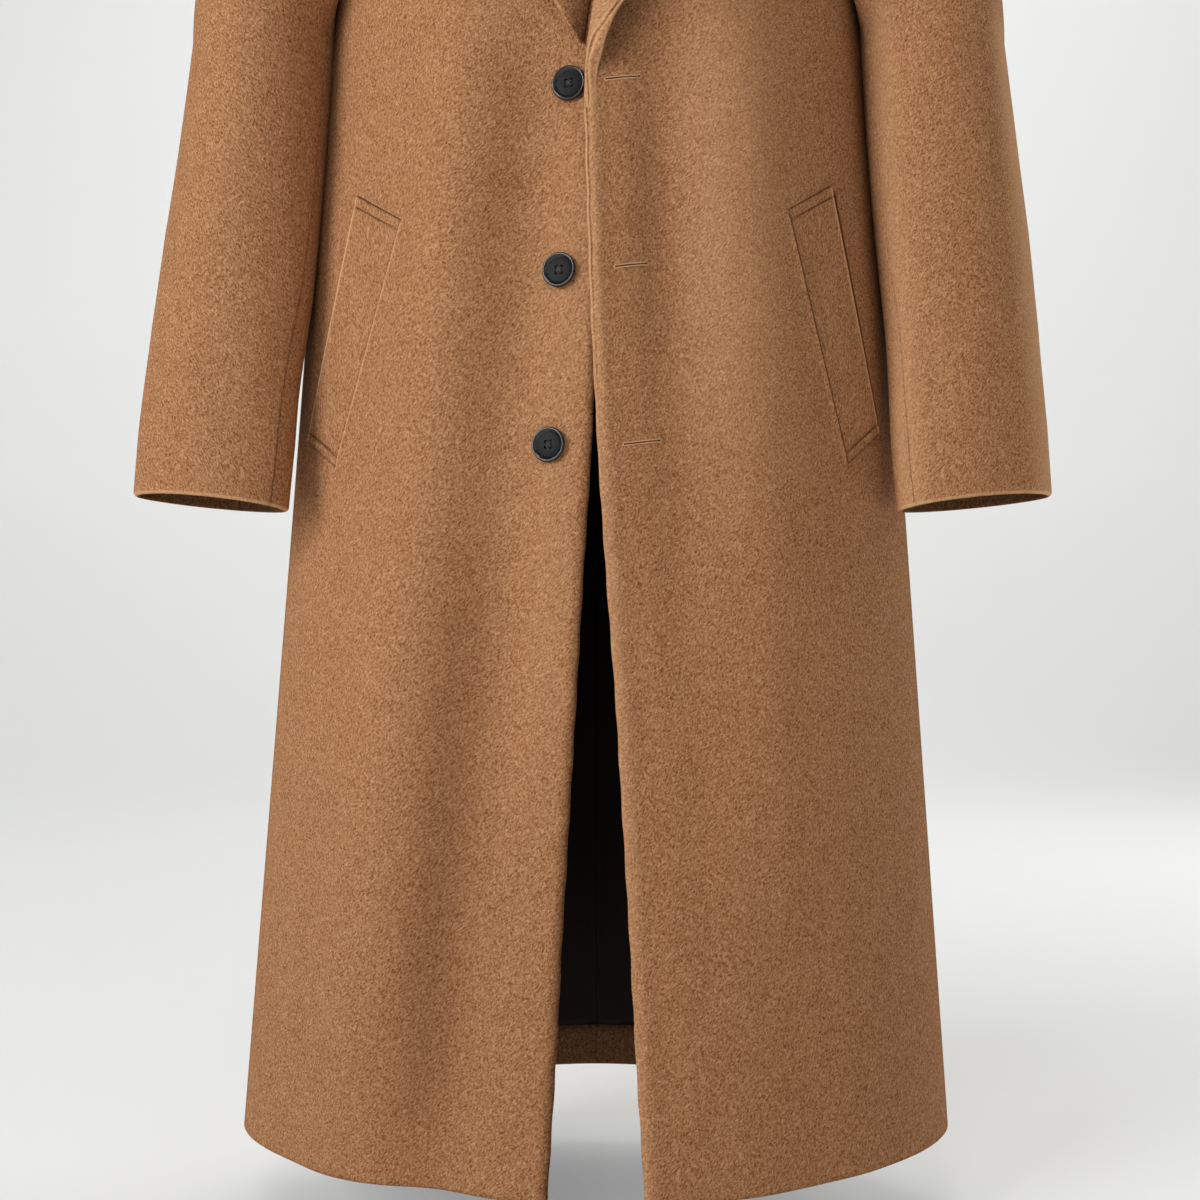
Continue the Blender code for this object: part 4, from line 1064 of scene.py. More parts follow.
def wool_and_lining(context):
    """The brushed face of the wool, the lining, and a darker copy of the wool that is painted shade
    on the inner faces.
    """
    colours, sizes = context.scene.overcoat_colours, context.scene.overcoat_sizes
    return [brushed_wool("brushed_camel_wool", colours, sizes, 1.0),
            satin_lining("satin_lining", colours),
            brushed_wool("unbrushed_camel_wool", colours, sizes, INSIDE_SHADE)]


# ---------------------------------------------------------------- the stage
class OVERCOAT_OT_stage(bpy.types.Operator):
    """Makes the camera, the pale floor that sweeps up into a wall, and the soft light"""

    bl_idname = "overcoat.stage"
    bl_label = "Studio"

    def execute(self, context):
        camera = bpy.data.cameras.new("camera")
        camera.lens = CAMERA_LENS
        camera.sensor_width = 36.0
        camera.clip_start, camera.clip_end = 0.05, 60
        eye = bpy.data.objects.new("camera", camera)
        eye.location = CAMERA_PLACE
        eye.rotation_euler = (math.radians(90), 0, 0)
        context.scene.collection.objects.link(eye)
        context.scene.camera = eye
        self.sweep(context)
        for lamp in LAMPS:
            self.lamp(context, *lamp)
        world = bpy.data.worlds.new("studio")
        world.use_nodes = True
        fill(world.node_tree, world.node_tree.nodes["Background"],
             {"Color": tint(linear("#F8F4EE")), "Strength": 0.23})
        context.scene.world = world
        context.scene.view_settings.view_transform = "Standard"
        return {"FINISHED"}

    @staticmethod
    def lamp(context, name, place, target, size, power, colour):
        """One square lamp, turned to the place that it lights."""
        light = bpy.data.lights.new(name, "AREA")
        light.shape = "SQUARE"
        light.size = size
        light.energy = power
        light.color = colour
        lamp = bpy.data.objects.new(name, light)
        lamp.location = place
        lamp.rotation_euler = (Vector(target) - Vector(place)).to_track_quat("-Z", "Y").to_euler()
        context.scene.collection.objects.link(lamp)

    @staticmethod
    def sweep(context):
        """Floor and wall in one sheet of paper with a wide bend between them."""
        bend, wall_y, far = 1.6, 4.6, 14.0
        turned = [(wall_y - bend + bend * math.sin(turn), FLOOR_Z + bend * (1 - math.cos(turn)))
                  for turn in np.linspace(0, math.pi / 2, 24)]
        line = [(-far, FLOOR_Z)] + turned + [(wall_y, far)]
        bm = bmesh.new()
        bmesh.ops.create_grid(bm, x_segments=8, y_segments=len(line) - 1, size=1)
        for vert in bm.verts:
            y, z = line[round((vert.co.y + 1) / 2 * (len(line) - 1))]
            vert.co = (vert.co.x * far, y, z)
        bmesh.ops.recalc_face_normals(bm, faces=bm.faces[:])
        paper = studio_paper("studio_paper", context.scene.overcoat_colours)
        floor = finish_mesh(bm, "studio_floor", [paper])


# ---------------------------------------------------------------- cloth
class OVERCOAT_OT_fronts(bpy.types.Operator):
    """Makes both fronts with their faced edges and turned-up hems"""

    bl_idname = "overcoat.fronts"
    bl_label = "Fronts"

    def execute(self, context):
        sizes = context.scene.overcoat_sizes
        panels = body_panels(sizes)
        for side, word in SIDES:
            piece = panels[side, -1].build(f"front_{word}_wool", sizes, wool_and_lining(context))
            dressed(piece, f"front_{word}")
        return {"FINISHED"}


class OVERCOAT_OT_backs(bpy.types.Operator):
    """Makes both halves of the back, parted by the centre seam"""

    bl_idname = "overcoat.backs"
    bl_label = "Back"

    def execute(self, context):
        sizes = context.scene.overcoat_sizes
        panels = body_panels(sizes)
        for side, word in SIDES:
            piece = panels[side, 1].build(f"back_{word}_wool", sizes, wool_and_lining(context))
            dressed(piece, f"back_{word}")
        return {"FINISHED"}


class OVERCOAT_OT_linings(bpy.types.Operator):
    """Makes the back lining in two halves, with soft folds where it hangs loose"""

    bl_idname = "overcoat.linings"
    bl_label = "Back lining"

    def execute(self, context):
        sizes = context.scene.overcoat_sizes
        panels = body_panels(sizes)
        for side, word in SIDES:
            back = panels[side, 1]
            first = int(np.argmax(back.from_hem[:, 0] > LINED_FROM))
            last = int(np.argmax(back.from_top[:, 0] < LINING_TOP))
            reach = back.from_start[back.base, -1] * LINING_WIDE
            wide = int(np.argmax(back.from_start[back.base] > reach))
            part = (slice(first, last), slice(0, wide))
            points, normals = back.points[part], back.normals[part]
            across, up = back.from_start[part], back.from_hem[part]
            low = smooth(1 - (up - 0.04) / 0.5)
            loose = LOOSE * (1 + np.sin(across * 2 * math.pi / LOOSE_APART + 1.2 * side)) * low
            loose = loose * smooth(across / 0.012)
            seam = LINING_SEAM * bump_at(across, 0.0, LINING_SEAM_WIDE)
            hung = sizes.cloth + LINING_GAP + loose + seam
            rim = rim_depth(np.minimum(across, up - up[:1]), sizes.lining / 2)
            outer = points - normals * (hung + rim)[..., None]
            inner = points - normals * (hung + sizes.lining - rim)[..., None]
            uv = np.stack([across * side, up], axis=2)
            piece = shell(f"lining_back_{word}_satin", outer, inner, uv,
                          [satin_lining("satin_lining", context.scene.overcoat_colours)])
            dressed(piece, f"lining_back_{word}")
        return {"FINISHED"}


def sleeve_ring(side, z, steps):
    """One level ring of a sleeve, at places counted round the armhole."""
    outer, inner, centre_y, half_depth = (by_height(SLEEVE_SECTIONS, z, column)
                                          for column in (1, 2, 3, 4))
    stand_in, from_z, run = SLEEVE_INNER[side]
    inner = inner - stand_in * above(z, from_z, run)
    angles = SLEEVE_ANGLES[:, 1].copy()
    angles[1] = lerp(FRONT_SEAM_TOP, FRONT_SEAM_LOW, below(z, -0.40, 0.25))
    angle = np.radians(np.interp(steps, SLEEVE_ANGLES[:, 0], angles))
    half_width = (outer - inner) / 2
    lean = side * SLEEVE_LEAN * (1 - 2 * below(z, -0.29, 0.384))
    x = (outer + inner) / 2 - half_width * np.cos(angle) + lean
    turn = SLEEVE_TURN * below(z, -0.20, 0.2)
    y = centre_y - half_depth * np.sin(angle) - turn * half_width * np.cos(angle)
    tilt = CUFF_TILT * below(z, -0.45, 0.2) * half_width * np.cos(angle)
    bow = np.where(np.sin(angle) > 0, CUFF_BOW, CUFF_DROP)
    tilt = tilt - bow * below(z, -0.62, 0.054) * np.sin(angle)
    return np.stack([x, y, z - tilt], axis=1)


def armhole_line(side, panels, steps):
    """Places and panel normals round the armhole, from the underarm over the front."""
    front, back = panels[side, -1], panels[side, 1]
    around, facing = [], []
    for panel in (front, back):
        levels = np.concatenate([[0.0], panel.levels])
        half = ARMHOLE_STEPS / 2
        wanted = steps / half if panel is front else (ARMHOLE_STEPS - steps) / half
        wanted = np.clip(wanted, 0, 1)
        for found, grid in ((around, panel.points), (facing, panel.normals)):
            rim = grid[panel.base:, -1]
            found.append(np.stack([np.interp(wanted, levels, rim[:, axis]) for axis in range(3)],
                                  axis=1))
    first = (steps <= ARMHOLE_STEPS / 2)[:, None]
    return np.where(first, around[0], around[1]), unit(np.where(first, facing[0], facing[1]))


def sleeve_points(side, panels, steps, row_step):
    """Outer points of a sleeve in rows from the armhole to the cuff."""
    armhole, panel_normals = armhole_line(side, panels, steps % ARMHOLE_STEPS)
    armhole, panel_normals = mirrored(armhole, side), mirrored(panel_normals, side)
    steps = steps % ARMHOLE_STEPS
    top_z = SLEEVE_SECTIONS[0, 0]
    ring = sleeve_ring(side, top_z, steps)
    angle = np.radians(np.interp(steps, SLEEVE_ANGLES[:, 0], SLEEVE_ANGLES[:, 1]))[:, None]
    over = (1 - np.cos(angle)) / 2
    # the way in which the cloth leaves the armhole, and in which it stands off its edge
    leave = unit(np.concatenate([0.15 + 0.75 * over, -0.35 * np.sin(angle), -1 + 0.45 * over],
                                axis=1))
    apart = unit(panel_normals * (1 - over) * 0.8 + np.array([0.9, 0, 0.0]) * (0.25 + over)
                 + leave * 0.5 * over)
    start = armhole + apart * 0.0002
    under = armhole - panel_normals * 0.0016 - leave * SEAM_ALLOWANCE
    reach = np.linalg.norm(ring - start, axis=1)[:, None] * 0.36
    first = start + leave * reach
    second = ring + np.array([0, 0, 1.0]) * reach
    rows = [under, lerp(under, start, 0.6)]
    for share in np.concatenate([[0, 0.006, 0.02], np.linspace(0.045, 1, 26)[:-1]]):
        rows.append(cubic(start, first, second, ring, share))
    cuff_z = SLEEVE_SECTIONS[-1, 0]
    heights = np.concatenate([np.arange(top_z, cuff_z + 0.012, -row_step),
                              cuff_z + HEM_STEPS[::-1]])
    rows += [sleeve_ring(side, z, steps) for z in heights]
    return np.array(rows)


class OVERCOAT_OT_sleeves(bpy.types.Operator):
    """Makes the top and under sleeves with their turned-up cuffs"""

    bl_idname = "overcoat.sleeves"
    bl_label = "Sleeves"

    def execute(self, context):
        sizes = context.scene.overcoat_sizes
        panels = body_panels(sizes)
        spans = {"sleeve_top": (FRONT_SEAM_STEP, BACK_SEAM_STEP),
                 "sleeve_under": (BACK_SEAM_STEP, ARMHOLE_STEPS + FRONT_SEAM_STEP)}
        for side, word in SIDES:
            for piece_name, (first, last) in spans.items():
                piece = self.sleeve_piece(side, f"{piece_name}_{word}_wool", first, last, panels,
                                          sizes, wool_and_lining(context))
                dressed(piece, f"{piece_name}_{word}")
        return {"FINISHED"}

    @staticmethod
    def sleeve_piece(side, name, first, last, panels, sizes, materials):
        """A top or under sleeve, between two places round the armhole."""
        near = np.array([0, 0.012, 0.035, 0.07, 0.14, 0.28])
        even = np.arange(first + 0.5, last - 0.4, 0.25)
        steps = np.concatenate([first + near, even, last - near[::-1]])
        margin = near[1]
        wide = np.concatenate([[steps[0] - margin], steps, [steps[-1] + margin]])
        points = sleeve_points(side, panels, wide, sizes.row_step)
        normals = grid_normals(points, flip=False)[:, 1:-1]
        points = points[:, 1:-1]
        round_place = np.repeat(steps[None], len(points), axis=0) % ARMHOLE_STEPS
        z = points[..., 2]
        lift = np.zeros(points.shape[:2])
        for number, (place, z_top, z_low, width, depth) in enumerate(SLEEVE_CREASES):
            share = (z_top - z) / (z_top - z_low)
            fading = run_out(share, before=0.3, rise=0.5, past=1.3, fall=0.5)
            middle = place + 0.5 * np.sin(3.0 * share + number + side)
            uneven = 1 + 0.3 * np.sin(7 * share + 2 * number)
            lift += depth * fading * uneven * bump_at(round_place, middle, width)
        points = points + normals * (lift * sizes.crease)[..., None]
        across, down = travel_across(points), travel_down(points)
        to_cuff = down[-1:] - down
        turned = 1 - smooth((to_cuff - (CUFF_TURN_UP_Z - SLEEVE_SECTIONS[-1, 0])) / TURN_UP_STEP)
        thick = sizes.cloth + CUFF_TURN_UP * turned
        from_seam = np.minimum(across, across[:, -1:] - across)
        depth = np.maximum(rim_depth(from_seam, SEAM_RIM), rim_depth(down, SEAM_RIM))
        outside = np.maximum(depth, rim_depth(to_cuff, CUFF_ROLL))
        inside = np.maximum(depth, rim_depth(to_cuff, thick - CUFF_ROLL))
        outer = points - normals * outside[..., None]
        inner = points - normals * (thick - inside)[..., None]
        # a painted highlight along the cuff's front rim, and painted shade in the seams
        tone = 0.75 * bump_at(to_cuff, 0.0010, 0.0010)
        tone -= SLEEVE_SEAM_SHADE[side] * bump_at(from_seam, 0, SEAM_SHADE_WIDE)
        # the right sleeve's front: painted light by its inner side, where the body's shade falls, a
        # band of painted shade in the middle, and painted light towards its outer side
        if side > 0:
            z = points[..., 2]
            low, high = by_height(SLEEVE_SECTIONS, z, 2), by_height(SLEEVE_SECTIONS, z, 1)
            place = (points[..., 0] - low) / (high - low)
            faces_front = smooth(-normals[..., 1] / 0.5)
            front_light_and_shade = 0.34 * (1 - smooth(place / 0.20)) - 0.13 * bump_at(place, 0.50, 0.20) \
                + 0.50 * smooth((place - 0.74) / 0.20)
            tone += below(z, -0.22, 0.08) * faces_front * front_light_and_shade
        uv = np.stack([across, to_cuff], axis=2)
        # inside, the faces off the lining take the darker copy of the wool, as painted shade
        lined = to_cuff > CUFF_LINED_FROM
        return shell(name, mirrored(outer, side), mirrored(inner, side), uv, materials, lined, tone)


# ---------------------------------------------------------------- lapels and collar
def rounded(corners):
    """A polyline as a smooth curve through the same corners."""
    return refine(np.stack([corners, corners], axis=1), 8)[:, 0]


def roll_line(side):
    """The fold of a lapel in the front view, x on its own side, from the break to the gorge."""
    chest = section(UNDERARM_Z, front_edge(UNDERARM_Z, side), -1, side)
    upper = bezier(chest[0], ROLL_LINE, NECK_POINT, np.linspace(0, 1, 60))[:, [0, 2]]
    heights = np.linspace(LAPEL_START_Z if side > 0 else BREAK_Z, UNDERARM_Z, 30)[:-1]
    lower = np.array([[front_edge(z, side), z] for z in heights])
    line = np.concatenate([lower, upper])
    return line[line[:, 1] <= GORGE_ROLL_Z + 1e-4]


class OVERCOAT_OT_lapels(bpy.types.Operator):
    """Makes the turned-back lapels, rolled round the fronts' edges"""

    bl_idname = "overcoat.lapels"
    bl_label = "Lapels"

    def execute(self, context):
        sizes = context.scene.overcoat_sizes
        panels = body_panels(sizes)
        for side, word in SIDES:
            tree = surface_tree(panels[side, -1].points)
            piece = self.lapel(side, word, tree, wool_and_lining(context)[:1])
            dressed(piece, f"lapel_{word}")
        return {"FINISHED"}

    @staticmethod
    def lapel(side, word, tree, materials):
        """One lapel, laid on its front between the roll line and the outer edge."""
        roll = roll_line(side)
        outer_edge = np.array(LAPEL_OUTER[side])
        if side < 0:
            # the right lapel starts where the left front uncovers it
            under = np.array([[max(x, -front_edge(z, 1) + 0.0022), z] for x, z in roll])
            roll = under[under[:, 1] >= outer_edge[0, 1]]
        shares = np.linspace(0, 1, 90) ** 1.25
        inner_line, outer_line = along(roll, shares), along(rounded(outer_edge), shares)
        places, normals = [], []
        for start, end in zip(inner_line, outer_line):
            length = max(np.linalg.norm(end - start), 1e-4)
            edge = LAPEL_EDGE_STEPS * min(1.0, length * 0.55 / LAPEL_EDGE_STEPS[-1])
            inner = ROLL_STEPS * min(1.0, length * 0.35 / ROLL_STEPS[-1])
            middle = np.linspace(inner[-1], length - edge[-1], 16)[1:-1]
            columns = np.concatenate([inner, middle, (length - edge)[::-1]]) / length
            found = [seen_from_front(tree, side * x, z)
                     for x, z in lerp(start, end, columns[:, None])]
            places.append([place for place, _ in found])
            normals.append([normal for _, normal in found])
        places, normals = np.array(places), np.array(normals)
        depths = places[..., 1]     # a view, so softening it softens the places
        for _ in range(6):
            normals[1:-1] = unit(normals[:-2] + 2 * normals[1:-1] + normals[2:])
            normals[:, 1:-1] = unit(normals[:, :-2] + 2 * normals[:, 1:-1] + normals[:, 2:])
            depths[1:-1] = (depths[:-2] + 2 * depths[1:-1] + depths[2:]) / 4
            depths[:, 1:-1] = (depths[:, :-2] + 2 * depths[:, 1:-1] + depths[:, 2:]) / 4
        width, height = travel_across(places), travel_down(places)
        to_outer = width[:, -1:] - width
        to_end = height[-1:] - height if side > 0 else np.minimum(height, height[-1:] - height)
        grown = smooth(height / LAPEL_GROWS + 0.08) if side > 0 else np.ones_like(height)
        depth = np.maximum(rim_depth(to_outer, LAPEL_OUT / 2), rim_depth(to_end, LAPEL_OUT / 2))
        full = LAPEL_GAP + LAPEL_OUT
        bend = np.minimum(ROLL_WIDE, width[:, -1:] * 0.8)
        turned = full * (1 - np.sqrt(1 - np.clip(1 - width / bend, 0, 1) ** 2))
        raised = smooth(width / np.maximum(width[:, -1:], 0.012)) * grown
        raised = raised * LAPEL_STAND * (1 - above(height, LAPEL_LAID, 0.07))
        if side > 0:
            raised = raised * above(height, 0.012, 0.06)
        seam_in = by_height(LAPEL_SEAM, places[..., 2], 1) if side > 0 else LAPEL_SEAM[0, 1]
        seam = (0.0010 if side > 0 else 0.0003) * bump_at(to_outer, seam_in, 0.0006)
        high = (full - np.maximum(depth, turned) - seam) * grown - 0.0003 * (1 - grown)
        high = np.maximum(high, 0.0001)
        if side > 0:
            high = high * lerp(smooth(to_outer / 0.0095), 1, above(height, 0.024, 0.03))
        high = high + raised
        low = (LAPEL_GAP + depth) * grown * smooth(width / 0.012) - 0.0005 + raised
        low = np.minimum(low, high - 0.0001)
        outer = places + normals * high[..., None]
        inner = places + normals * low[..., None]
        if side > 0:
            # painted highlights along the edge and on two ridges beside a dark seam line, and
            # painted light where it rolls
            tone = 0.40 * bump_at(to_outer, 0.0009, 0.0010) * grown
            tone -= 0.70 * bump_at(to_outer, seam_in, 0.0007) * smooth(height / 0.006)
            tone += 0.40 * (bump_at(to_outer, seam_in + 0.0016, 0.0010)
                            + bump_at(to_outer, seam_in - 0.0015, 0.0009))
            rolling = 1 - above(height, 0.08, 0.08)
            tone += 0.26 * rolling * (1 - 0.7 * grown * bump_at(to_outer, 0, 0.006))
        else:
            # a painted highlight along the edge, and painted shade near the roll line, where the
            # left lapel shades it
            tone = 0.45 * bump_at(to_outer, 0.0009, 0.0009)
            tone -= 0.60 * (1 - smooth(width / 0.034)) * (1 - above(height, 0.08, 0.08))
        uv = np.stack([width, height], axis=2)
        return shell(f"lapel_{word}_wool", outer, inner, uv, materials, tone=tone)


def nearest(trees, guess, out):
    """The place on the closest panel, moved out from it."""
    found = min((tree.find_nearest(Vector(guess)) for tree in trees), key=lambda hit: hit[3])
    place, normal = np.array(found[0]), np.array(found[1])
    if np.dot(normal, np.array(guess) - np.array([0, 0, -0.1])) < 0:
        normal = -normal
    return place + normal * out


def collar_rows(trees):
    """Rows of the collar on the +X side, from the centre back to its front end."""
    neck_turns = np.linspace(0, math.pi / 2, 6)
    back_base = np.stack([NECK_POINT[0] * np.sin(neck_turns), BACK_NECK[1] * np.cos(neck_turns),
                          BACK_NECK[2] * np.cos(neck_turns)], axis=1)
    chest = section(UNDERARM_Z, front_edge(UNDERARM_Z, 1), -1, 1)
    seam = bezier(chest[0], ROLL_LINE, NECK_POINT, np.linspace(0, 1, 200))
    seam = seam[seam[:, 2] >= GORGE_ROLL_Z][::-1]
    base = np.concatenate([back_base, along(seam, np.linspace(0, 1, 6))[1:]])
    out = LAPEL_GAP + LAPEL_OUT
    rows = []
    for index, place in enumerate(base[:-1]):
        stand, *guess = COLLAR_STATIONS[index]
        leaf = nearest(trees, guess, out + LEAF_STAND)
        inward = unit(np.array([-place[0], -place[1], 0.0]))
        foot = place + inward * NECK_OFFSET + np.array([0, 0, STAND_LIFT])
        crown = foot + inward * 0.003 + np.array([0, 0, stand])
        radius = COLLAR_ROLL * (0.55 + 0.45 * min(stand / 0.03, 1))
        over = [crown - inward * radius * (1 - math.cos(turn))
                + np.array([0, 0, radius * math.sin(turn)])
                for turn in (math.pi / 3, 2 * math.pi / 3)]
        start = crown - inward * radius * 2
        bow = np.array([0, 0, 0.006]) - inward * 0.004
        drop = [start + (leaf - start) * share + bow * math.sin(math.pi * share)
                for share in (0.12, 0.42, 0.72)]
        rows.append([foot, lerp(foot, crown, 0.5), crown] + over + drop + [leaf])
    gorge_start = [base[-1][0] + GORGE_IN, base[-1][2]]
    end, end_normals = [], []
    for x, z in along([gorge_start, NOTCH, COLLAR_TIP], np.linspace(0, 1, len(rows[0]))):
        place, normal = seen_from_front(trees[0], x + GORGE_GAP[0], z + GORGE_GAP[1])
        end.append(place + normal * out)
        end_normals.append(normal)
    for index in range(6, len(rows)):
        share = smooth((index - 5) / 5)
        path = along([rows[index][0], rows[index][-1]], np.linspace(0, 1, len(rows[0])))
        rows[index] = [lerp(np.array(point), nearest(trees, flat, out), share)
                       for point, flat in zip(rows[index], path)]
    return np.array(rows + [end]), np.array(end_normals)


class OVERCOAT_OT_collar(bpy.types.Operator):
    """Makes the collar, its stand and leaf in one piece"""

    bl_idname = "overcoat.collar"
    bl_label = "Collar"

    def execute(self, context):
        panels = body_panels(context.scene.overcoat_sizes)
        trees = [surface_tree(panels[1, face].points) for face in (-1, 1)]
        half, end_normals = collar_rows(trees)
        whole = np.concatenate([mirrored(half[:0:-1], -1), half])
        normals = grid_normals(whole, flip=False)
        normals[0] = mirrored(end_normals, -1)
        normals[-1] = end_normals
        points, normals = refine(whole, 6), unit(refine(normals, 6))
        down, along_neck = travel_across(points), travel_down(points)
        to_end = np.minimum(along_neck, along_neck[-1:] - along_neck)
        to_edge = np.minimum(down[:, -1:] - down, to_end)
        depth = rim_depth(to_edge, COLLAR_CLOTH / 2)[..., None]
        outer = points - normals * depth
        inner = points - normals * (COLLAR_CLOTH - depth)
        uv = np.stack([along_neck, down], axis=2)
        piece = shell("collar_wool", outer, inner, uv, wool_and_lining(context)[:1])
        dressed(piece, "collar")
        return {"FINISHED"}


class OVERCOAT_OT_welts(bpy.types.Operator):
    """Makes the slanted pocket welts, stitched near both ends"""

    bl_idname = "overcoat.welts"
    bl_label = "Pocket welts"

    def execute(self, context):
        panels = body_panels(context.scene.overcoat_sizes)
        for side, word in SIDES:
            tree = surface_tree(panels[side, -1].points)
            piece = self.welt(side, word, tree, wool_and_lining(context)[:1])
            dressed(piece, f"pocket_welt_{word}")
        return {"FINISHED"}

    @staticmethod
    def welt(side, word, tree, materials):
        """One welt with the cloth beside it: a strip in front of its outer edge, which carries the
        right welt's painted shadow, and the roll up to its seam."""
        upper_side, upper_front, lower_side, lower_front = np.array(WELT_CORNERS[side])
        downs = np.concatenate([WELT_END_STEPS, np.linspace(0.07, 0.93, 44),
                                1 - WELT_END_STEPS[::-1]])
        past = WELT_ROLL / np.linalg.norm(upper_front - upper_side)
        acrosses = np.concatenate([past * WELT_SHADE_COLUMNS, WELT_COLUMNS,
                                   1 + past * WELT_ROLL_COLUMNS])
        places = np.zeros((len(downs), len(acrosses), 3))
        normals = np.zeros_like(places)
        for row, down in enumerate(downs):
            for column, across in enumerate(acrosses):
                x, z = lerp(lerp(upper_side, upper_front, across),
                            lerp(lower_side, lower_front, across), down)
                places[row, column], normals[row, column] = seen_from_front(tree, side * x, z)
        for _ in range(2):
            normals[1:-1] = unit(normals[:-2] + 2 * normals[1:-1] + normals[2:])
        across, down = travel_across(places), travel_down(places)
        outer_edge = len(WELT_SHADE_COLUMNS)
        across = across - across[:, outer_edge:outer_edge + 1]
        share = np.repeat(acrosses[None], len(downs), axis=0)
        to_end = np.minimum(down, down[-1:] - down)
        to_seam = (share - 1) * across[:, -1:] / share[:, -1:]
        crest = WELT_OUT - (WELT_OUT - WELT_CREST) * smooth(share)
        flank = np.clip(1 - across / 0.0026, 0, 1) ** 2 + np.clip(1 - to_end / 0.0012, 0, 1) ** 2
        rise = crest * (1 - np.clip(flank, 0, 1))
        beside = 0.0003 * smooth(across / 0.013 + 1) * smooth(to_end / 0.004)
        rise = rise - 0.0011 * bump_at(to_end, WELT_STITCH_IN, 0.0006) * smooth(share / 0.04)
        rise = rise + 0.0003 * bump_at(across, 0.0036, 0.0014)
        rolled = 0.0019 * smooth(to_seam / 0.0022 + 0.35) * smooth(1 - to_seam / WELT_ROLL)
        rolled = rolled * smooth(to_end / 0.008)
        rise = np.where(to_seam < 0, rise * smooth(0.55 - to_seam / 0.0024) + 0.0001, rolled)
        rise = np.where(across < 0, beside, rise)
        outer = places + normals * (np.maximum(rise, 0.0) - 0.0002)[..., None]
        inner = places - normals * WELT_SINK
        on_welt = smooth(0.5 - to_seam / 0.001) * smooth(0.5 + across / 0.001)
        # a painted highlight along the crest of the outer edge, then dark lines at the ends and
        # along the stitching
        tone = 1.00 * bump_at(across, 0.0028, 0.0013) * smooth(to_end / 0.0015)
        wide = np.where(down > down[-1:] / 2, 0.0011, 0.0008)
        tone -= 0.95 * bump_at(to_end, 0.0003, wide) * on_welt
        stitched = bump_at(to_end, WELT_STITCH_IN, wide - 0.0002) * on_welt
        tone -= 0.85 * stitched * smooth(across / 0.003)
        if side < 0:
            # the left welt: a painted highlight along its seam and painted shade just past it
            seam_highlight = 0.75 * bump_at(to_seam, 0.0010, 0.0010) \
                - 0.30 * bump_at(to_seam, -0.0012, 0.0008)
            tone += seam_highlight * smooth(to_end / 0.004)
        else:
            # the right welt: painted shade along its seam, and its painted shadow cast on the strip
            # beside its outer edge
            tone -= 0.85 * bump_at(to_seam, -0.0004, 0.0009) * smooth(to_end / 0.004)
            welt_shadow = smooth(across / 0.013 + 1) * (across < 0.0004)
            tone -= 0.95 * welt_shadow * smooth(to_end / 0.010)
        uv = np.stack([across, down], axis=2)
        return shell(f"pocket_welt_{word}_wool", outer, inner, uv, materials, tone=tone)


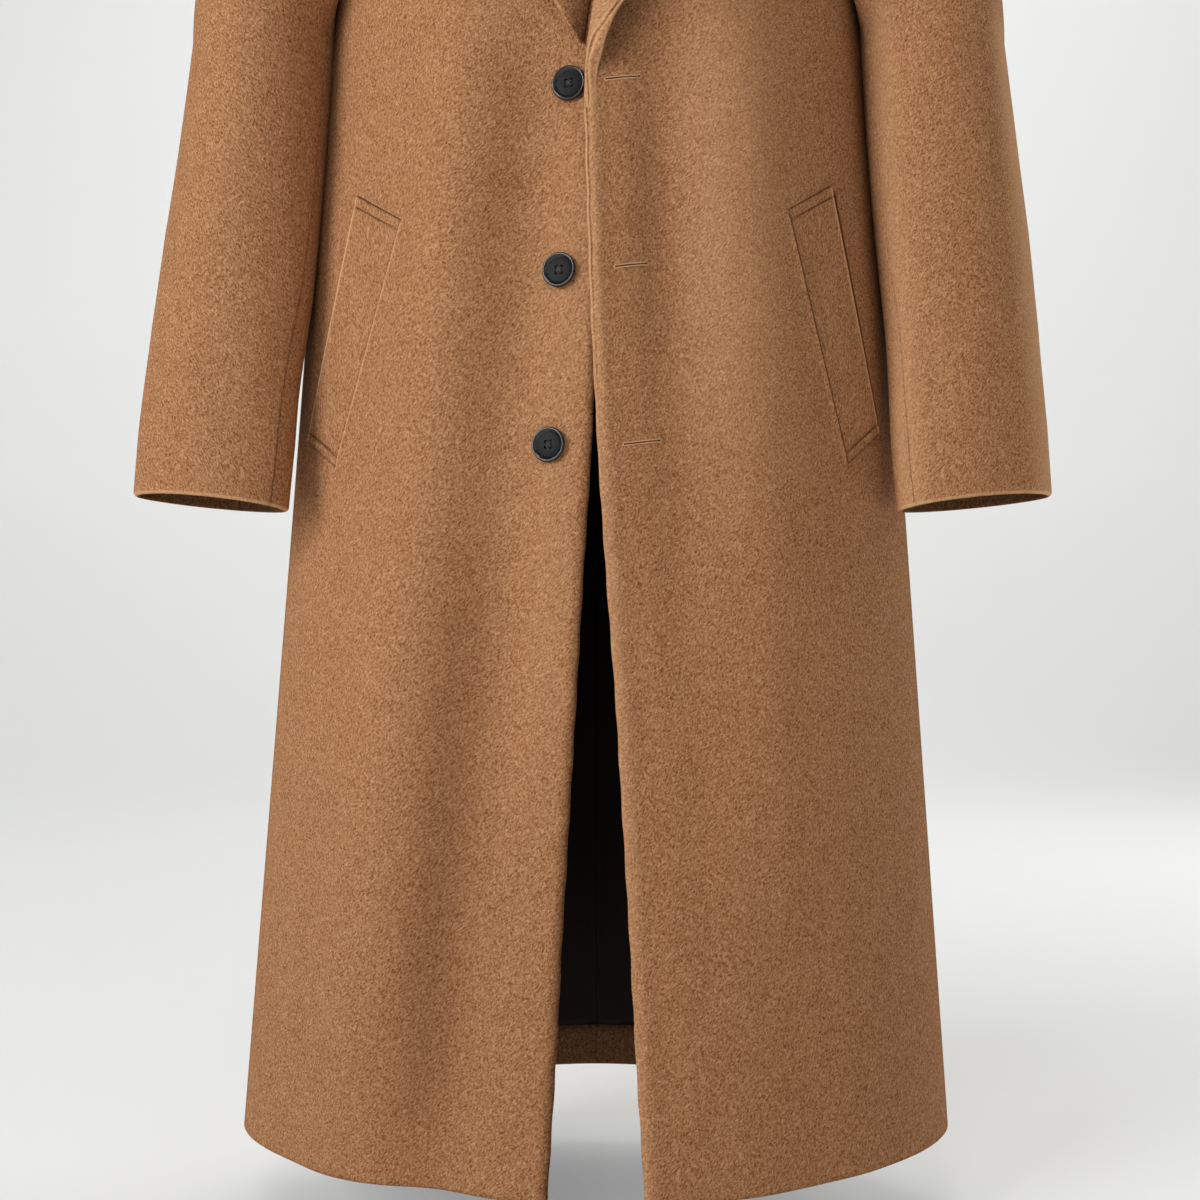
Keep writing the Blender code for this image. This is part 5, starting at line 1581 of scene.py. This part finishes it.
# ---------------------------------------------------------------- buttons and buttonholes
class OVERCOAT_OT_buttons(bpy.types.Operator):
    """Makes the three sew-through buttons and their thread"""

    bl_idname = "overcoat.buttons"
    bl_label = "Buttons"

    def execute(self, context):
        colours = context.scene.overcoat_colours
        tree = surface_tree(body_panels(context.scene.overcoat_sizes)[-1, -1].points)
        for number, (x, z) in enumerate(BUTTON_PLACES, 1):
            place, normal = seen_from_front(tree, x, z)
            facing = Vector(normal).to_track_quat("Z", "Y").to_matrix().to_4x4()
            stand = Matrix.Translation(Vector(place + normal * BUTTON_STAND)) @ facing
            button = self.button(context, f"button_{number}_resin", stand,
                                 [cast_resin("polished_resin", colours, 0.20, 0.55),
                                  cast_resin("matt_resin", colours, 0.48, 0.12)])
            dressed(button, f"button_{number}")
            thread = self.cross(f"button_{number}_thread", stand,
                                [spun_thread("button_thread", colours.thread)])
            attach(thread, "root")
        return {"FINISHED"}

    @staticmethod
    def button(context, name, stand, materials):
        """One button, turned from half its section, with four holes drilled through."""
        rim, top, dish = BUTTON_RADIUS, BUTTON_HEIGHT, BUTTON_HEIGHT - BUTTON_DISH
        crest = rim - BUTTON_RIM
        half_section = [(0, 0), (rim * 0.62, 0), (rim * 0.93, 0.0009), (rim, 0.0020),
                        (rim, top - 0.0016), (rim - 0.0002, top - 0.0009),
                        (rim - 0.0006, top - 0.0003), (rim - 0.0011, top),
                        (rim - 0.0016, top - 0.0001), (rim - 0.0022, top - 0.0004),
                        (rim - 0.0028, top - 0.0008), (crest, dish),
                        (crest - 0.0003, dish - 0.0002), (crest - 0.0009, dish), (0.005, dish),
                        (0, dish)]
        bm = bmesh.new()
        profile = [bm.verts.new((radius, 0, height)) for radius, height in half_section]
        edges = [bm.edges.new(pair) for pair in zip(profile, profile[1:])]
        bmesh.ops.spin(bm, geom=profile + edges, cent=(0, 0, 0), axis=(0, 0, 1),
                       angle=2 * math.pi, steps=72, use_merge=True)
        bmesh.ops.remove_doubles(bm, verts=bm.verts[:], dist=0.00001)
        blank = finish_mesh(bm, name, materials)
        cutters = bmesh.new()
        for angle in HOLE_ANGLES:
            place = Matrix.Translation((BUTTON_HOLE_OFF * math.cos(angle),
                                        BUTTON_HOLE_OFF * math.sin(angle), BUTTON_HEIGHT / 2))
            bmesh.ops.create_cone(cutters, cap_ends=True, segments=20, radius1=BUTTON_HOLE,
                                  radius2=BUTTON_HOLE, depth=BUTTON_HEIGHT * 2, matrix=place)
        cutter = finish_mesh(cutters, f"{name}_holes", materials)
        holes = blank.modifiers.new("holes", "BOOLEAN")
        holes.object = cutter
        holes.operation = "DIFFERENCE"
        depsgraph = context.evaluated_depsgraph_get()
        drilled = bpy.data.meshes.new_from_object(blank.evaluated_get(depsgraph))
        blank.modifiers.clear()
        blank.data = drilled
        drilled.shade_smooth()
        drilled.set_sharp_from_angle(angle=math.radians(50))
        for face in drilled.polygons:
            if face.center.xy.length < crest - 0.0002 and face.center.z > 0.001:
                face.material_index = 1
        drilled.transform(stand)
        bpy.data.objects.remove(cutter)
        return blank

    @staticmethod
    def cross(name, stand, materials):
        """Two strands from hole to hole, crossed in the middle, and their ends down the holes."""
        bm = bmesh.new()
        dish = BUTTON_HEIGHT - BUTTON_DISH
        for pair, angle in enumerate(HOLE_ANGLES[:2]):
            way = np.array([math.cos(angle), math.sin(angle), 0])
            for beside in (-STRAND_APART, STRAND_APART):
                aside = np.array([-way[1], way[0], 0]) * beside
                path = []
                for share in np.linspace(-1, 1, 17):
                    height = dish + (0.00055 + 0.0003 * pair) * (1 - share ** 6) \
                        - 0.0016 * abs(share) ** 10
                    path.append(way * share * BUTTON_HOLE_OFF * 1.05 + aside
                                + np.array([0, 0, height]))
                strand = bmesh.new()
                thread_tube(strand, path, STRAND_RADIUS, closed=False)
                take_in(bm, strand)
        thread = finish_mesh(bm, name, materials)
        thread.data.transform(stand)
        return thread


class OVERCOAT_OT_buttonholes(bpy.types.Operator):
    """Makes the three buttonholes: a slit of painted shade edged with purl thread, and an eyelet"""

    bl_idname = "overcoat.buttonholes"
    bl_label = "Buttonholes"

    def execute(self, context):
        colours = context.scene.overcoat_colours
        tree = surface_tree(body_panels(context.scene.overcoat_sizes)[1, -1].points)
        materials = [spun_thread("buttonhole_thread", colours.purl),
                     # the slit's colour is painted shade
                     spun_thread("buttonhole_depth", linear("#54301A"))]
        for number, (x0, z0, x1, z1) in enumerate(BUTTONHOLES, 1):
            piece = self.buttonhole(f"buttonhole_{number}", np.array([x0, z0]),
                                    np.array([x1, z1]), tree, materials)
            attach(piece, "root")
        return {"FINISHED"}

    @staticmethod
    def buttonhole(name, start, end, tree, materials):
        """One buttonhole along a line on the front, its purl laid round slit and eyelet."""
        ahead = unit(end - start)
        across = np.array([-ahead[1], ahead[0]])
        length = np.linalg.norm(end - start)
        straight = length - EYELET * 1.6

        def laid(walked, aside, out):
            x, z = start + ahead * walked + across * aside
            place, normal = seen_from_front(tree, x, z)
            return place + normal * out

        outline = [(share * straight, PURL_APART) for share in np.linspace(0, 1, 24)]
        outline += [(length - EYELET + EYELET * math.cos(turn), EYELET * math.sin(turn))
                    for turn in np.linspace(2.6, -2.6, 14)]
        outline += [(share * straight, -PURL_APART) for share in np.linspace(1, 0, 24)]
        outline.append((-0.0004, 0.0))
        path = [laid(walked, aside, 0.00022) for walked, aside in outline]
        bm = bmesh.new()
        thread_tube(bm, path, PURL_RADIUS, closed=True)
        purl_faces = len(bm.faces)
        dark = bmesh.new()
        # the slit opens at the inner end, closes to a line and ends in the round eyelet; its dark
        # tubes are painted shade in the cut
        for first, last, thick in ((0, 0.0014, 0.00062), (0.0014, length * 0.42, 0.00040),
                                   (length * 0.42, length - EYELET * 1.8, 0.00020),
                                   (length - EYELET * 1.5, length - EYELET * 0.5, 0.00062)):
            slit = [laid(walked, 0.0, 0.0002) for walked in np.linspace(first, last, 13)]
            thread_tube(dark, slit, thick, closed=False, sides=6)
        take_in(bm, dark)
        bm.faces.ensure_lookup_table()
        for face in bm.faces[purl_faces:]:
            face.material_index = 1
        return finish_mesh(bm, name, materials)


# ---------------------------------------------------------------- add-on
class OVERCOAT_PT_sidebar(bpy.types.Panel):
    """Lists the coat's pieces and its sizes and colours"""

    bl_idname = "OVERCOAT_PT_sidebar"
    bl_label = "Overcoat"
    bl_space_type = "VIEW_3D"
    bl_region_type = "UI"
    bl_category = "Overcoat"

    def draw(self, context):
        for group in (context.scene.overcoat_sizes, context.scene.overcoat_colours):
            for name in group.__annotations__:
                self.layout.prop(group, name)
        for operator in OPERATORS:
            self.layout.operator(operator.bl_idname)


OPERATORS = (OVERCOAT_OT_stage, OVERCOAT_OT_fronts, OVERCOAT_OT_backs, OVERCOAT_OT_linings,
             OVERCOAT_OT_sleeves, OVERCOAT_OT_lapels, OVERCOAT_OT_collar, OVERCOAT_OT_welts,
             OVERCOAT_OT_buttons, OVERCOAT_OT_buttonholes)
CLASSES = (OvercoatSizes, OvercoatColours, *OPERATORS, OVERCOAT_PT_sidebar)


def register():
    for group in CLASSES:
        bpy.utils.register_class(group)
    bpy.types.Scene.overcoat_sizes = PointerProperty(type=OvercoatSizes)
    bpy.types.Scene.overcoat_colours = PointerProperty(type=OvercoatColours)


def unregister():
    del bpy.types.Scene.overcoat_sizes
    del bpy.types.Scene.overcoat_colours
    for group in reversed(CLASSES):
        bpy.utils.unregister_class(group)


def main():
    register()
    bpy.ops.overcoat.stage()
    bpy.ops.overcoat.fronts()
    bpy.ops.overcoat.backs()
    bpy.ops.overcoat.linings()
    bpy.ops.overcoat.sleeves()
    bpy.ops.overcoat.lapels()
    bpy.ops.overcoat.collar()
    bpy.ops.overcoat.welts()
    bpy.ops.overcoat.buttons()
    bpy.ops.overcoat.buttonholes()


if __name__ == "__main__":
    main()
